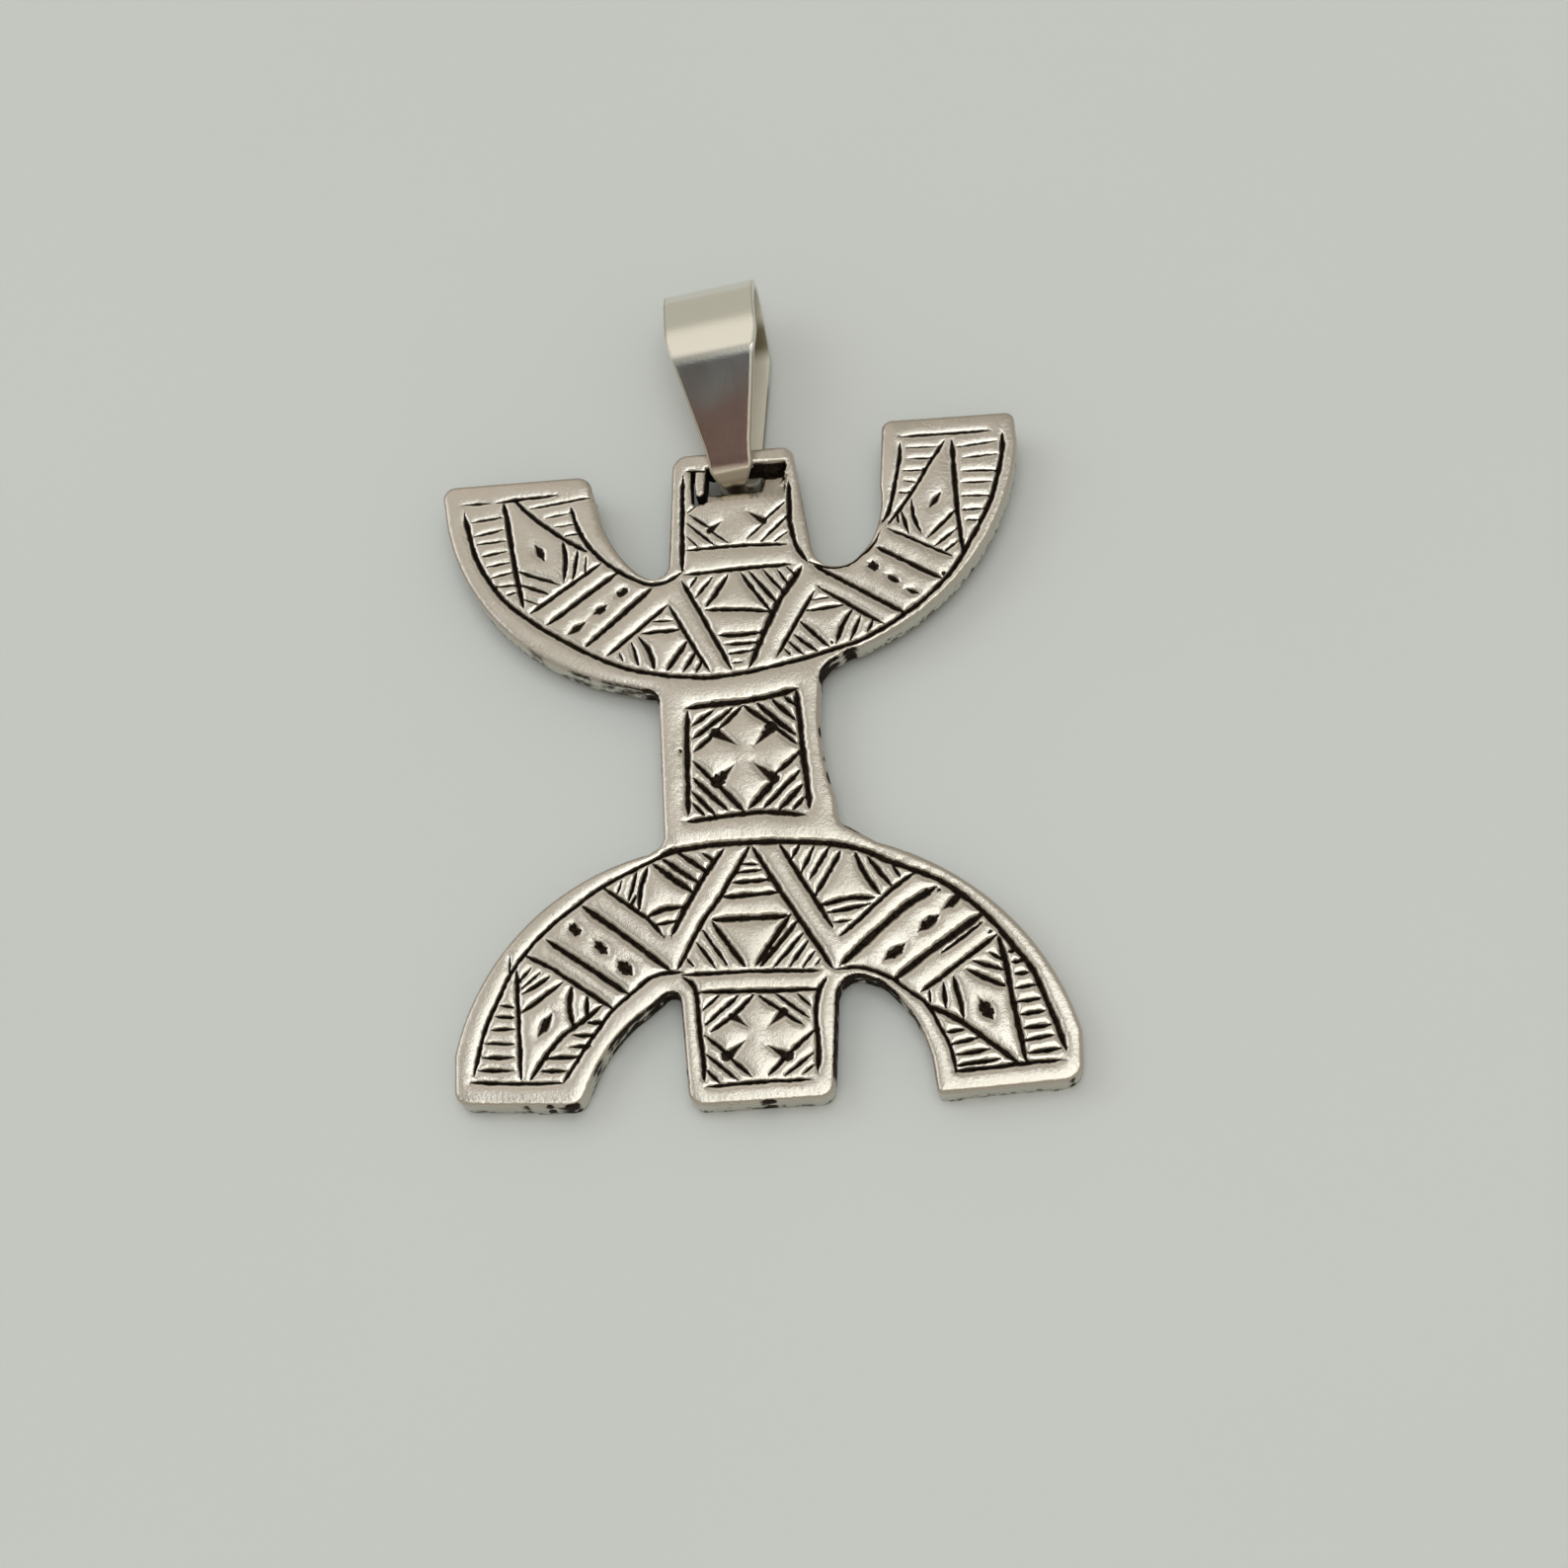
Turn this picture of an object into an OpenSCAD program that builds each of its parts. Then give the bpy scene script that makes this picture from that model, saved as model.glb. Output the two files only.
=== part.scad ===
// Engraved silver pendant in the form of the letter yaz, with a folded strap bail.
// It lies face up. +X is across the pendant, +Y runs from the feet to the bail, and +Z is up.

/* [Plate] */
// Thickness of the plate
plate_t = 1.8; // [1.5:0.1:2.2]
// Depth of the engraved cuts
cut_depth = 0.3; // [0.15:0.05:0.5]
// Scale of the width of every engraved cut
cut_width_scale = 1; // [0.6:0.1:1.2]

/* [Slot] */
// Width of the slot across the top prong
slot_w = 5.55; // [4.8:0.05:5.8]
// Length of the slot from its lower end to the bar
slot_l = 1.6; // [1.6:0.05:1.7]
// Length of the filed ramp below the slot
ramp_l = 0.7; // [0.3:0.1:0.9]
// Depth of the filed ramp where it meets the slot
ramp_depth = 0.75; // [0.4:0.05:0.8]
// Width of the bar that carries the bail, between the slot and the edge of the prong
bar_w = 1; // [0.9:0.05:1]
// Bevel of the long edges of the bar
bar_bevel = 0.4; // [0.4:0.05:0.45]

/* [Bail] */
// Thickness of the strap
strap_t = 0.6; // [0.5:0.05:0.6]
// Inside radius of the narrow end of the bail
narrow_r = 1.2; // [1.2:0.05:1.25]
// Width of the strap at the narrow end
narrow_w = 2.6; // [1.6:0.1:2.6]
// Width of the strap over its wide middle
wide_w = 5.5; // [4:0.05:6]
// Distance from the bar to the start of the bend at the wide end
bend_start = 6; // [5:0.1:8]
// Length of the bend
bend_l = 5.7; // [3:0.1:6]
// Front to back depth of the bail over its bend
bend_depth = 4.9; // [4:0.1:5.2]
// Turn of the bail to the left, seen from the front
bail_turn = 4; // [0:0.5:8]
// Lean of the bail onto its left edge
bail_lean = 5.5; // [0:0.5:8]

/* [Hidden] */

silver = [0.80, 0.77, 0.73];
polished = [0.83, 0.81, 0.78];
more = 0.5;
arc_step = 7;

// Sizes of the outline, measured from the middle of the square panel on the neck.
foot_y = -20.3;
prong_top_y = 19.5;
slot_left = -2.45;
bar_y = prong_top_y - bar_w / 2;
slot_top = prong_top_y - bar_w;
slot_bottom = slot_top - slot_l;

// The bail lies on its left edge and the bar rests in it, so the top of the plate is lifted a little.
bail_edge_drop = narrow_w / 2 * sin(bail_lean);
bar_z = (narrow_r + strap_t) * cos(bail_lean) + bail_edge_drop;
widest_at = bend_start + 1.4;
bail_rise = atan((wide_w - narrow_w) / 2 * sin(bail_lean) / widest_at) + 0.1;
lift_angle = asin((bar_z - plate_t / 2) / (bar_y - foot_y));
whole_length = 51.05;

function at(centre, r, angle) = centre + r * [cos(angle), sin(angle)];
function arc(row) =
    let (steps = max(2, ceil(abs(row[4] - row[3]) / (row[2] > 5 ? 4 : arc_step * 3))))
    [for (i = [0 : steps]) at([row[0], row[1]], row[2], row[3] + (row[4] - row[3]) * i / steps)];
function joined(lists) = [for (one = lists) for (point = one) point];
function between(a, b, t) = a + (b - a) * t;

// The outline, anticlockwise from the tip of the left arm: straight edges join the arcs.
// Columns: centre x, centre y, radius, first angle, last angle
OUTLINE_ARCS = [
    [-16.60, 18.10, 0.75, 95, 185],
    [-3.45, 18.45, 13.85, 184, 256],
    [-5.80, 3.75, 0.90, 80, 0],
    [-5.75, -4.30, 0.90, 0, -75],
    [-3.00, -19.10, 14.05, 101, 168],
    [-15.80, -18.10, 0.95, 175, 265],
    [-10.40, -18.55, 0.95, 266, 335],
    [-1.25, -21.58, 8.65, 157, 121],
    [-4.75, -14.10, 0.55, 130, 0],
    [-3.05, -19.10, 0.90, 180, 268],
    [3.15, -19.20, 0.85, 274, 358],
    [5.50, -14.45, 1.10, 180, 75],
    [1.70, -19.55, 7.65, 50, 2],
    [9.72, -20.00, 0.30, 185, 265],
    [16.20, -19.00, 1.12, 272, 362],
    [1.50, -21.00, 16.30, 13, 70],
    [6.00, -3.65, 1.10, 248, 185],
    [20.60, 1.70, 16.35, 196, 174],
    [5.80, 4.30, 1.35, 180, 118],
    [1.70, 20.45, 15.10, 286, 352],
    [16.10, 19.95, 0.50, 0, 88],
    [9.45, 20.00, 0.62, 92, 178],
    [2.50, 15.80, 6.03, 6, -30],
    [5.85, 13.05, 1.55, -38, -175],
    [2.85, 18.75, 0.75, 0, 90],
    [-2.75, 18.60, 0.90, 90, 180],
    [-4.95, 12.60, 0.92, -5, -130],
    [-0.35, 17.70, 7.85, 226, 186],
    [-9.35, 17.85, 0.90, -15, 86]
];

// Long curved cuts, as arcs.
// Columns: centre x, centre y, radius, first angle, last angle, width
CURVED_CUTS = [
    [-1.45, 20.43, 15.21, 193.5, 268, 0.42],
    [0.50, 20.85, 15.50, 263.5, 353, 0.42],
    [-3.23, 17.44, 6.35, 187, 252, 0.36],
    [-6.00, 20.00, 15.85, -3.5, -23, 0.30],
    [-0.80, -20.34, 15.31, 168.5, 87, 0.42],
    [0.87, -20.80, 15.65, 90, 9, 0.44],
    [-2.50, -20.55, 8.35, 163, 116, 0.40],
    [4.15, -19.05, 6.30, 2, 76, 0.36]
];

// Straight cuts with pointed ends.
// Columns: first x, first y, last x, last y, width
LEFT_ARM_CUTS = [
    [-16.10, 17.50, -14.45, 17.50, 0.30],
    [-14.20, 17.45, -10.40, 17.70, 0.28],
    [-12.00, 16.85, -8.50, 17.30, 0.22],
    [-8.35, 17.30, -7.90, 16.10, 0.20],
    [-13.75, 17.30, -12.60, 10.60, 0.48],
    [-13.00, 17.30, -11.55, 15.90, 0.34],
    [-11.75, 16.10, -8.60, 13.60, 0.34],
    [-10.20, 14.60, -10.25, 12.00, 0.34],
    [-9.40, 13.90, -9.60, 12.20, 0.24],
    [-8.85, 13.45, -9.00, 12.45, 0.16],
    [-12.85, 12.75, -10.50, 11.85, 0.34],
    [-12.70, 11.95, -11.20, 11.30, 0.28],
    [-12.50, 11.00, -11.60, 10.70, 0.22],
    [-8.10, 12.90, -12.25, 10.05, 0.36],
    [-7.15, 12.20, -11.20, 9.30, 0.40],
    [-4.70, 11.10, -9.10, 7.65, 0.46],
    [-5.40, 11.40, -4.30, 11.35, 0.34],
    [-4.50, 11.32, -3.20, 11.80, 0.34],
    [-4.25, 9.90, -7.70, 7.00, 0.36],
    [-4.15, 9.95, -1.85, 5.60, 0.40],
    [-5.10, 8.95, -3.85, 8.90, 0.20],
    [-5.75, 8.25, -3.60, 8.30, 0.30],
    [-5.80, 8.00, -5.05, 6.00, 0.42],
    [-6.35, 7.65, -5.90, 6.25, 0.26],
    [-7.00, 7.10, -6.90, 6.60, 0.18],
    [-3.05, 7.60, -4.35, 5.85, 0.48],
    [-2.60, 6.95, -3.50, 5.65, 0.40],
    [-2.25, 6.25, -2.70, 5.65, 0.28]
];

PRONG_CUTS = [
    [-3.05, 18.30, -3.25, 11.80, 0.34],
    [3.20, 17.00, 3.20, 13.90, 0.26],
    [3.18, 14.20, 3.50, 12.50, 0.36],
    [3.40, 12.80, 4.40, 11.60, 0.44],
    [-3.00, 13.20, 2.95, 13.15, 0.32],
    [-3.30, 11.75, 3.30, 11.80, 0.34],
    [-2.75, 15.75, -2.35, 16.05, 0.18],
    [-2.80, 15.60, -1.50, 14.35, 0.26],
    [-1.50, 14.30, -0.50, 13.50, 0.20],
    [-2.90, 14.90, -1.30, 13.45, 0.28],
    [-2.85, 14.00, -2.30, 13.45, 0.20],
    [2.95, 15.85, 1.70, 14.75, 0.26],
    [1.50, 14.50, 0.70, 13.75, 0.24],
    [3.05, 14.95, 1.40, 13.45, 0.28],
    [3.00, 13.95, 2.15, 13.40, 0.20]
];

MIDDLE_CUTS = [
    [-3.35, 11.40, -0.60, 5.50, 0.42],
    [3.80, 11.65, 0.35, 5.60, 0.46],
    [-0.55, 11.55, -2.05, 9.45, 0.44],
    [0.10, 11.50, 1.80, 8.95, 0.34],
    [-1.95, 9.35, 1.70, 8.90, 0.34],
    [-2.20, 11.50, -2.85, 10.85, 0.20],
    [-1.50, 11.50, -2.50, 10.20, 0.26],
    [0.70, 11.50, 2.20, 9.35, 0.34],
    [1.50, 11.50, 2.60, 10.10, 0.26],
    [2.20, 11.50, 2.90, 10.55, 0.22],
    [2.75, 11.60, 3.25, 11.15, 0.18],
    [-1.30, 7.65, 0.95, 7.65, 0.38],
    [-1.00, 7.10, 0.80, 7.10, 0.32],
    [-0.75, 6.45, 0.60, 6.50, 0.28],
    [-0.55, 5.90, 0.05, 5.90, 0.18]
];

RIGHT_ARM_CUTS = [
    [4.45, 10.25, 2.05, 5.90, 0.38],
    [4.60, 10.20, 8.20, 7.50, 0.36],
    [4.15, 9.40, 5.10, 9.45, 0.20],
    [3.80, 8.80, 5.95, 9.00, 0.34],
    [3.40, 8.05, 4.95, 6.45, 0.42],
    [3.10, 7.40, 4.35, 6.25, 0.34],
    [2.70, 6.90, 3.45, 6.15, 0.30],
    [2.40, 6.45, 2.80, 6.05, 0.20],
    [6.45, 8.55, 5.50, 6.50, 0.48],
    [7.00, 8.15, 6.35, 6.70, 0.42],
    [7.65, 7.75, 7.25, 7.05, 0.28],
    [4.60, 11.40, 9.45, 8.15, 0.50],
    [8.10, 12.40, 11.75, 10.00, 0.48],
    [8.90, 13.45, 12.30, 11.35, 0.32],
    [12.50, 18.90, 8.85, 13.70, 0.36],
    [12.85, 18.95, 13.05, 11.70, 0.44],
    [10.00, 19.40, 15.20, 19.30, 0.28],
    [10.25, 15.35, 10.65, 13.15, 0.30],
    [9.65, 14.65, 10.05, 13.10, 0.28],
    [12.70, 14.35, 11.10, 12.80, 0.28],
    [12.75, 13.20, 11.30, 12.10, 0.28],
    [12.75, 12.40, 12.00, 11.75, 0.24]
];

NECK_CUTS = [
    [-3.30, 3.25, 3.10, 4.00, 0.40],
    [-3.25, 3.15, -3.45, -3.20, 0.36],
    [3.10, 3.85, 3.45, -3.45, 0.38],
    [-3.50, -3.60, 3.15, -3.70, 0.28],
    [0.00, 3.15, -1.70, 1.85, 0.22],
    [-1.70, 1.60, -2.95, 0.50, 0.30],
    [-0.60, 3.10, -2.95, 1.40, 0.34],
    [-1.70, 3.05, -2.95, 2.20, 0.34],
    [0.05, 3.10, 1.70, 1.70, 0.30],
    [1.75, 1.45, 2.90, 0.40, 0.26],
    [0.75, 3.25, 2.85, 1.05, 0.36],
    [1.60, 3.40, 2.90, 1.95, 0.36],
    [2.30, 3.50, 2.90, 2.85, 0.28],
    [-2.95, 0.05, -1.50, -1.75, 0.36],
    [-1.75, -1.50, -0.20, -3.20, 0.42],
    [-3.00, -0.95, -1.25, -3.10, 0.36],
    [-3.10, -1.85, -1.95, -3.25, 0.34],
    [-3.10, -2.50, -2.50, -3.30, 0.26],
    [2.95, 0.00, 1.60, -1.30, 0.38],
    [1.80, -1.10, 0.00, -3.10, 0.40],
    [3.00, -1.00, 0.90, -3.15, 0.38],
    [3.05, -1.85, 1.70, -3.25, 0.40],
    [3.10, -2.70, 2.45, -3.35, 0.34]
];

LEFT_LEG_CUTS = [
    [-15.90, -17.75, -10.70, -18.15, 0.30],
    [-13.20, -11.70, -13.10, -17.70, 0.40],
    [-8.60, -14.05, -10.60, -15.30, 0.32],
    [-10.30, -15.10, -12.60, -17.90, 0.38],
    [-10.25, -12.80, -10.20, -15.00, 0.34],
    [-9.40, -13.40, -9.50, -14.40, 0.24],
    [-12.65, -10.75, -7.90, -14.05, 0.40],
    [-11.60, -9.90, -7.00, -13.35, 0.44],
    [-9.50, -8.10, -4.85, -12.15, 0.50],
    [-8.35, -7.25, -5.05, -10.15, 0.36],
    [-6.10, -13.05, -4.10, -12.50, 0.34],
    [-5.80, -6.15, -6.35, -8.45, 0.38],
    [-6.40, -6.40, -6.90, -8.00, 0.32],
    [-7.20, -6.90, -7.50, -7.60, 0.22],
    [-1.45, -5.50, -4.60, -10.20, 0.40],
    [-5.45, -6.00, -3.35, -7.85, 0.44],
    [-4.80, -5.70, -2.95, -7.30, 0.42],
    [-3.95, -5.50, -2.45, -6.75, 0.38],
    [-2.70, -5.55, -2.10, -6.05, 0.24],
    [-5.90, -9.00, -3.80, -8.60, 0.34],
    [-5.55, -9.60, -4.25, -9.40, 0.24]
];

MIDDLE_LEG_CUTS = [
    [0.00, -5.45, -4.35, -12.35, 0.40],
    [0.15, -5.45, 4.25, -12.80, 0.40],
    [-0.45, -6.35, 0.35, -6.45, 0.20],
    [-0.80, -6.85, 0.65, -6.85, 0.24],
    [-1.10, -7.45, 1.00, -7.40, 0.28],
    [-1.55, -8.20, 1.40, -8.20, 0.30],
    [-2.20, -9.45, 1.95, -9.60, 0.42],
    [-2.20, -9.75, -0.55, -12.30, 0.38],
    [2.00, -9.80, 0.00, -12.30, 0.34],
    [-2.85, -10.15, -1.55, -12.10, 0.28],
    [-3.25, -10.80, -2.20, -12.20, 0.26],
    [-3.75, -11.70, -3.45, -12.10, 0.18],
    [1.60, -5.45, 4.30, -10.50, 0.38],
    [4.95, -6.10, 3.50, -8.50, 0.38],
    [4.40, -5.90, 3.20, -7.60, 0.28],
    [3.50, -5.75, 2.75, -7.05, 0.28],
    [2.70, -5.65, 2.25, -6.20, 0.24],
    [3.90, -9.05, 6.75, -8.85, 0.34],
    [4.10, -9.60, 6.45, -9.30, 0.30],
    [4.35, -10.20, 5.30, -10.10, 0.22],
    [-4.10, -12.45, 3.70, -12.90, 0.38],
    [-3.20, -13.55, 3.20, -13.95, 0.34],
    [-4.05, -12.70, -3.30, -13.60, 0.34],
    [-3.32, -13.40, -3.05, -18.60, 0.38],
    [3.90, -13.25, 3.25, -14.50, 0.34],
    [3.20, -14.20, 3.15, -18.55, 0.38],
    [-2.85, -18.95, 2.65, -18.95, 0.30],
    [-0.15, -14.05, -1.30, -14.90, 0.26],
    [-1.40, -15.00, -2.70, -15.95, 0.26],
    [-1.10, -14.00, -2.85, -15.40, 0.28],
    [-1.95, -13.90, -2.90, -14.60, 0.26],
    [0.05, -14.05, 1.30, -14.85, 0.26],
    [1.50, -15.10, 2.40, -15.85, 0.24],
    [0.95, -14.10, 2.75, -15.50, 0.26],
    [2.00, -14.15, 2.90, -14.85, 0.26],
    [-2.85, -16.15, -1.70, -17.20, 0.32],
    [-1.50, -17.40, -0.50, -18.50, 0.24],
    [-2.90, -17.00, -1.25, -18.65, 0.30],
    [-2.85, -17.90, -2.15, -18.75, 0.26],
    [2.95, -16.20, 1.50, -17.30, 0.32],
    [1.40, -17.70, 0.50, -18.50, 0.26],
    [2.90, -17.40, 1.35, -18.65, 0.26],
    [2.90, -18.10, 2.20, -18.60, 0.20]
];

RIGHT_LEG_CUTS = [
    [5.85, -6.35, 7.05, -8.80, 0.38],
    [6.50, -6.55, 7.65, -8.30, 0.38],
    [7.75, -7.15, 8.25, -7.85, 0.24],
    [4.75, -11.00, 8.85, -7.70, 0.34],
    [4.65, -12.60, 10.10, -8.50, 0.46],
    [7.60, -13.65, 12.35, -10.35, 0.46],
    [8.80, -13.10, 12.40, -10.90, 0.22],
    [8.90, -14.50, 13.25, -11.65, 0.36],
    [13.35, -11.75, 14.20, -18.75, 0.42],
    [8.80, -14.90, 10.90, -16.40, 0.40],
    [10.60, -16.20, 13.75, -18.85, 0.40],
    [10.40, -19.05, 16.10, -18.90, 0.34],
    [10.70, -13.85, 11.10, -16.25, 0.32],
    [10.15, -14.20, 10.20, -15.65, 0.24],
    [9.40, -14.50, 9.45, -15.10, 0.18]
];

// Rows of parallel cuts between two sides of a motif.
// Columns: first cut's two ends, last cut's two ends, how many, width
RUNGS = [
    [[-15.60, 16.35], [-13.80, 16.50], [-14.20, 11.95], [-13.05, 12.10], 7, 0.28],
    [[-11.20, 16.20], [-9.75, 16.40], [-9.95, 14.95], [-9.10, 15.00], 3, 0.22],
    [[10.25, 18.65], [12.00, 18.60], [9.60, 15.80], [10.25, 15.70], 5, 0.22],
    [[13.30, 18.40], [15.40, 18.50], [13.35, 13.60], [14.20, 13.55], 7, 0.26],
    [[-14.25, -13.50], [-13.45, -13.65], [-15.35, -17.15], [-13.40, -17.25], 6, 0.28],
    [[-12.40, -11.50], [-13.05, -12.10], [-10.75, -12.40], [-12.95, -13.90], 4, 0.28],
    [[-9.40, -14.85], [-8.50, -14.90], [-12.00, -17.45], [-10.60, -17.50], 5, 0.28],
    [[2.45, -10.15], [0.35, -12.30], [3.40, -11.95], [2.65, -12.60], 4, 0.26],
    [[13.95, -13.25], [14.50, -13.20], [14.40, -18.40], [16.00, -18.25], 8, 0.28],
    [[10.15, -16.95], [10.95, -16.80], [10.60, -18.75], [12.85, -18.55], 4, 0.28],
    [[12.75, -12.60], [13.35, -13.00], [11.50, -13.50], [13.50, -14.65], 3, 0.30]
];

// Short fat punch marks and the fangs of the crosses, wide in the middle.
// Columns: centre x, centre y, length, width, angle
PUNCHES = [
    [-11.55, 13.85, 1.20, 0.40, -63],
    [-6.75, 10.95, 0.80, 0.34, 25],
    [-8.10, 10.00, 0.90, 0.36, 30],
    [-9.40, 8.90, 1.00, 0.36, 38],
    [7.85, 11.20, 0.75, 0.38, -45],
    [8.95, 10.30, 0.95, 0.36, -40],
    [10.00, 9.35, 0.90, 0.30, -20],
    [11.65, 15.10, 1.20, 0.30, 52],
    [-11.60, -14.85, 1.40, 0.46, 56],
    [-9.95, -9.45, 0.85, 0.42, -50],
    [-8.50, -10.60, 1.05, 0.40, -52],
    [-7.15, -11.90, 1.05, 0.42, -45],
    [7.65, -12.20, 1.15, 0.36, 35],
    [9.55, -10.75, 1.30, 0.40, 33],
    [10.95, -9.65, 1.20, 0.34, 32],
    [12.40, -15.70, 1.40, 0.50, -60],
    [-1.25, 14.70, 0.80, 0.40, 38],
    [1.15, 15.05, 1.10, 0.40, -42],
    [-1.15, 1.30, 1.55, 0.34, -37],
    [1.15, 1.15, 1.45, 0.50, 40],
    [-1.25, -0.95, 1.25, 0.46, 47],
    [0.95, -1.00, 1.45, 0.48, -43],
    [-1.05, -15.35, 0.95, 0.36, -33],
    [1.05, -15.35, 1.05, 0.40, 38],
    [-1.25, -16.95, 1.15, 0.46, 35],
    [1.00, -17.30, 1.20, 0.50, -40]
];

module plate_outline() {
    polygon(joined([for (row = OUTLINE_ARCS) arc(row)]));
}

// A cut as a graver leaves it: pointed at both ends and widest in between.
module straight_cut(from, to, width) {
    way = (to - from) / norm(to - from);
    side = [-way[1], way[0]] * width * cut_width_scale / 2;
    near = between(from, to, 0.22);
    far = between(from, to, 0.78);
    polygon([from, near - side, far - side, to, far + side, near + side]);
}

module curved_cut(row) {
    half = row[5] * cut_width_scale / 2;
    inner = arc([row[0], row[1], row[2] - half, row[3], row[4]]);
    outer = arc([row[0], row[1], row[2] + half, row[4], row[3]]);
    polygon(joined([inner, outer]));
}

module rung_cuts(row) {
    for (i = [0 : row[4] - 1])
        let (t = i / (row[4] - 1))
            straight_cut(between(row[0], row[2], t), between(row[1], row[3], t), row[5]);
}

module punch_mark(row) {
    translate([row[0], row[1]])
        rotate(row[4])
            polygon([[-row[2] / 2, 0], [0, -row[3] / 2], [row[2] / 2, 0], [0, row[3] / 2]]);
}

module straight_cuts(rows) {
    for (row = rows)
        straight_cut([row[0], row[1]], [row[2], row[3]], row[4]);
}

module engraving() {
    for (row = CURVED_CUTS)
        curved_cut(row);
    straight_cuts(LEFT_ARM_CUTS);
    straight_cuts(PRONG_CUTS);
    straight_cuts(MIDDLE_CUTS);
    straight_cuts(RIGHT_ARM_CUTS);
    straight_cuts(NECK_CUTS);
    straight_cuts(LEFT_LEG_CUTS);
    straight_cuts(MIDDLE_LEG_CUTS);
    straight_cuts(RIGHT_LEG_CUTS);
    for (row = RUNGS)
        rung_cuts(row);
    for (row = PUNCHES)
        punch_mark(row);
}

// The slot, with the ramp that was filed into the face below it.
module slot() {
    translate([slot_left, slot_bottom, -more])
        cube([slot_w, slot_l, plate_t + 2 * more]);
    translate([slot_left, slot_bottom, plate_t])
        rotate([90, 0, 90])
            linear_extrude(slot_w)
                polygon([[more, more], [more, -ramp_depth], [0, -ramp_depth],
                    [-ramp_l, 0], [-ramp_l, more]]);
}

// A long square prism on its edge that bevels one edge of the bar.
module edge_bevel(y, z) {
    side = bar_bevel * sqrt(2);
    translate([0, y, z])
        rotate([45, 0, 0])
            cube([12, side, side], center = true);
}

module plate_body() {
    difference() {
        linear_extrude(plate_t)
            plate_outline();
        translate([0, 0, plate_t - cut_depth])
            linear_extrude(cut_depth + more)
                engraving();
        slot();
        for (z = [0, plate_t]) {
            edge_bevel(prong_top_y, z);
            intersection() {
                edge_bevel(slot_top, z);
                translate([slot_left, slot_top - 1, -1])
                    cube([slot_w, 2, plate_t + 2]);
            }
        }
    }
}

// Side view of the bail, with the bar at its origin and the wide end along +X:
// a round narrow end, straight sides and a long bend at the wide end.
module side_view(inset) {
    end_r = narrow_r + strap_t - inset;
    half = bend_depth / 2 - inset;
    middle = bend_depth / 2 - narrow_r - strap_t;
    slope = atan((bend_depth - 2 * (narrow_r + strap_t)) / bend_start);
    circle(r = end_r, $fn = 64);
    polygon(joined([
        [at([0, 0], end_r, 90 + slope), at([0, 0], end_r, 270)],
        [for (i = [0 : 20])
            let (angle = -90 + 9 * i)
                [bend_start + (bend_l - inset) * cos(angle), middle + half * sin(angle)]]
    ]));
}

// Front view of the strap: a rounded narrow end that widens evenly to the wide middle.
module strap_front() {
    tip_l = (narrow_r + strap_t) * 1.17;
    end = bend_start + bend_l + more;
    polygon(joined([
        [for (i = [0 : 8])
            let (angle = 90 + 22.5 * i)
                [tip_l * cos(angle), narrow_w / 2 * sin(angle)]],
        [[widest_at, -wide_w / 2], [end, -wide_w / 2], [end, wide_w / 2], [widest_at, wide_w / 2]]
    ]));
}

module bail_body() {
    intersection() {
        rotate([90, 0, 0])
            linear_extrude(wide_w + 2, center = true)
                difference() {
                    side_view(0);
                    side_view(strap_t);
                }
        translate([0, 0, -bend_depth])
            linear_extrude(3 * bend_depth)
                strap_front();
    }
}

module pendant_plate() {
    color(silver)
        translate([0, -whole_length / 2, 0])
            rotate([lift_angle, 0, 0])
                translate([0, -foot_y, 0])
                    plate_body();
}

// The bar is where the plate carries it after it is lifted.
module bail() {
    bar_at = [0, (bar_y - foot_y) * cos(lift_angle) - plate_t / 2 * sin(lift_angle) - whole_length / 2,
        (bar_y - foot_y) * sin(lift_angle) + plate_t / 2 * cos(lift_angle)];
    color(polished)
        translate(bar_at)
            rotate([0, 0, bail_turn])
                rotate([0, -bail_lean, 0])
                    rotate([bail_rise, 0, 0])
                        rotate([0, 0, 90])
                            bail_body();
}

pendant_plate();
bail();
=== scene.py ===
"""An engraved silver pendant with a strap bail, lying face up on a pale table."""
import math

import bmesh
import bpy
import numpy as np
from mathutils import Matrix, Vector, noise
from mathutils.geometry import delaunay_2d_cdt


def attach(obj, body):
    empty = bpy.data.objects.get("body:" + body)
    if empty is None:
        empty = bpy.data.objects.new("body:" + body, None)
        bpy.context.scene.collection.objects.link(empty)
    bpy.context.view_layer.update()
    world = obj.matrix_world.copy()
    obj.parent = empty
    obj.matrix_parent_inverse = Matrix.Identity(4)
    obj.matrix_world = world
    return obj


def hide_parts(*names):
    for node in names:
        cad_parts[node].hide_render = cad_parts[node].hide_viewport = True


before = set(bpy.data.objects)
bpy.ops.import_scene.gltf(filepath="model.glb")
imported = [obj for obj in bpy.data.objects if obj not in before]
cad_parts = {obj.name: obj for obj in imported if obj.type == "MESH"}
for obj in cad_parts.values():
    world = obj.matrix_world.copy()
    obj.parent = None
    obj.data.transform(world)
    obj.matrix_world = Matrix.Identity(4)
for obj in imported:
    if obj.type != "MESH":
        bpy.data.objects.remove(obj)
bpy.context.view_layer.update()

MM = 0.001

# Sizes in mm, the same as those of the solid plate and bail.
PLATE_T = 1.8
FOOT_Y = -20.3
BAR_Y = 19.0
STRAP_T = 0.6
NARROW_R = 1.2
NARROW_W = 2.6
WIDE_W = 5.5
BEND_START = 6.0
WIDEST_AT = 7.4
BEND_L = 5.7
BEND_DEPTH = 4.9
BAIL_TURN = math.radians(4.0)
BAIL_LEAN = math.radians(5.5)
WHOLE_LENGTH = 51.05

# The ramp that was filed into the face below the slot: its sides, its foot and head, its depth.
RAMP_X = (-1.66, 3.00)
RAMP_Y = (16.22, 17.86)
RAMP_DEPTH = 0.62

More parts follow.
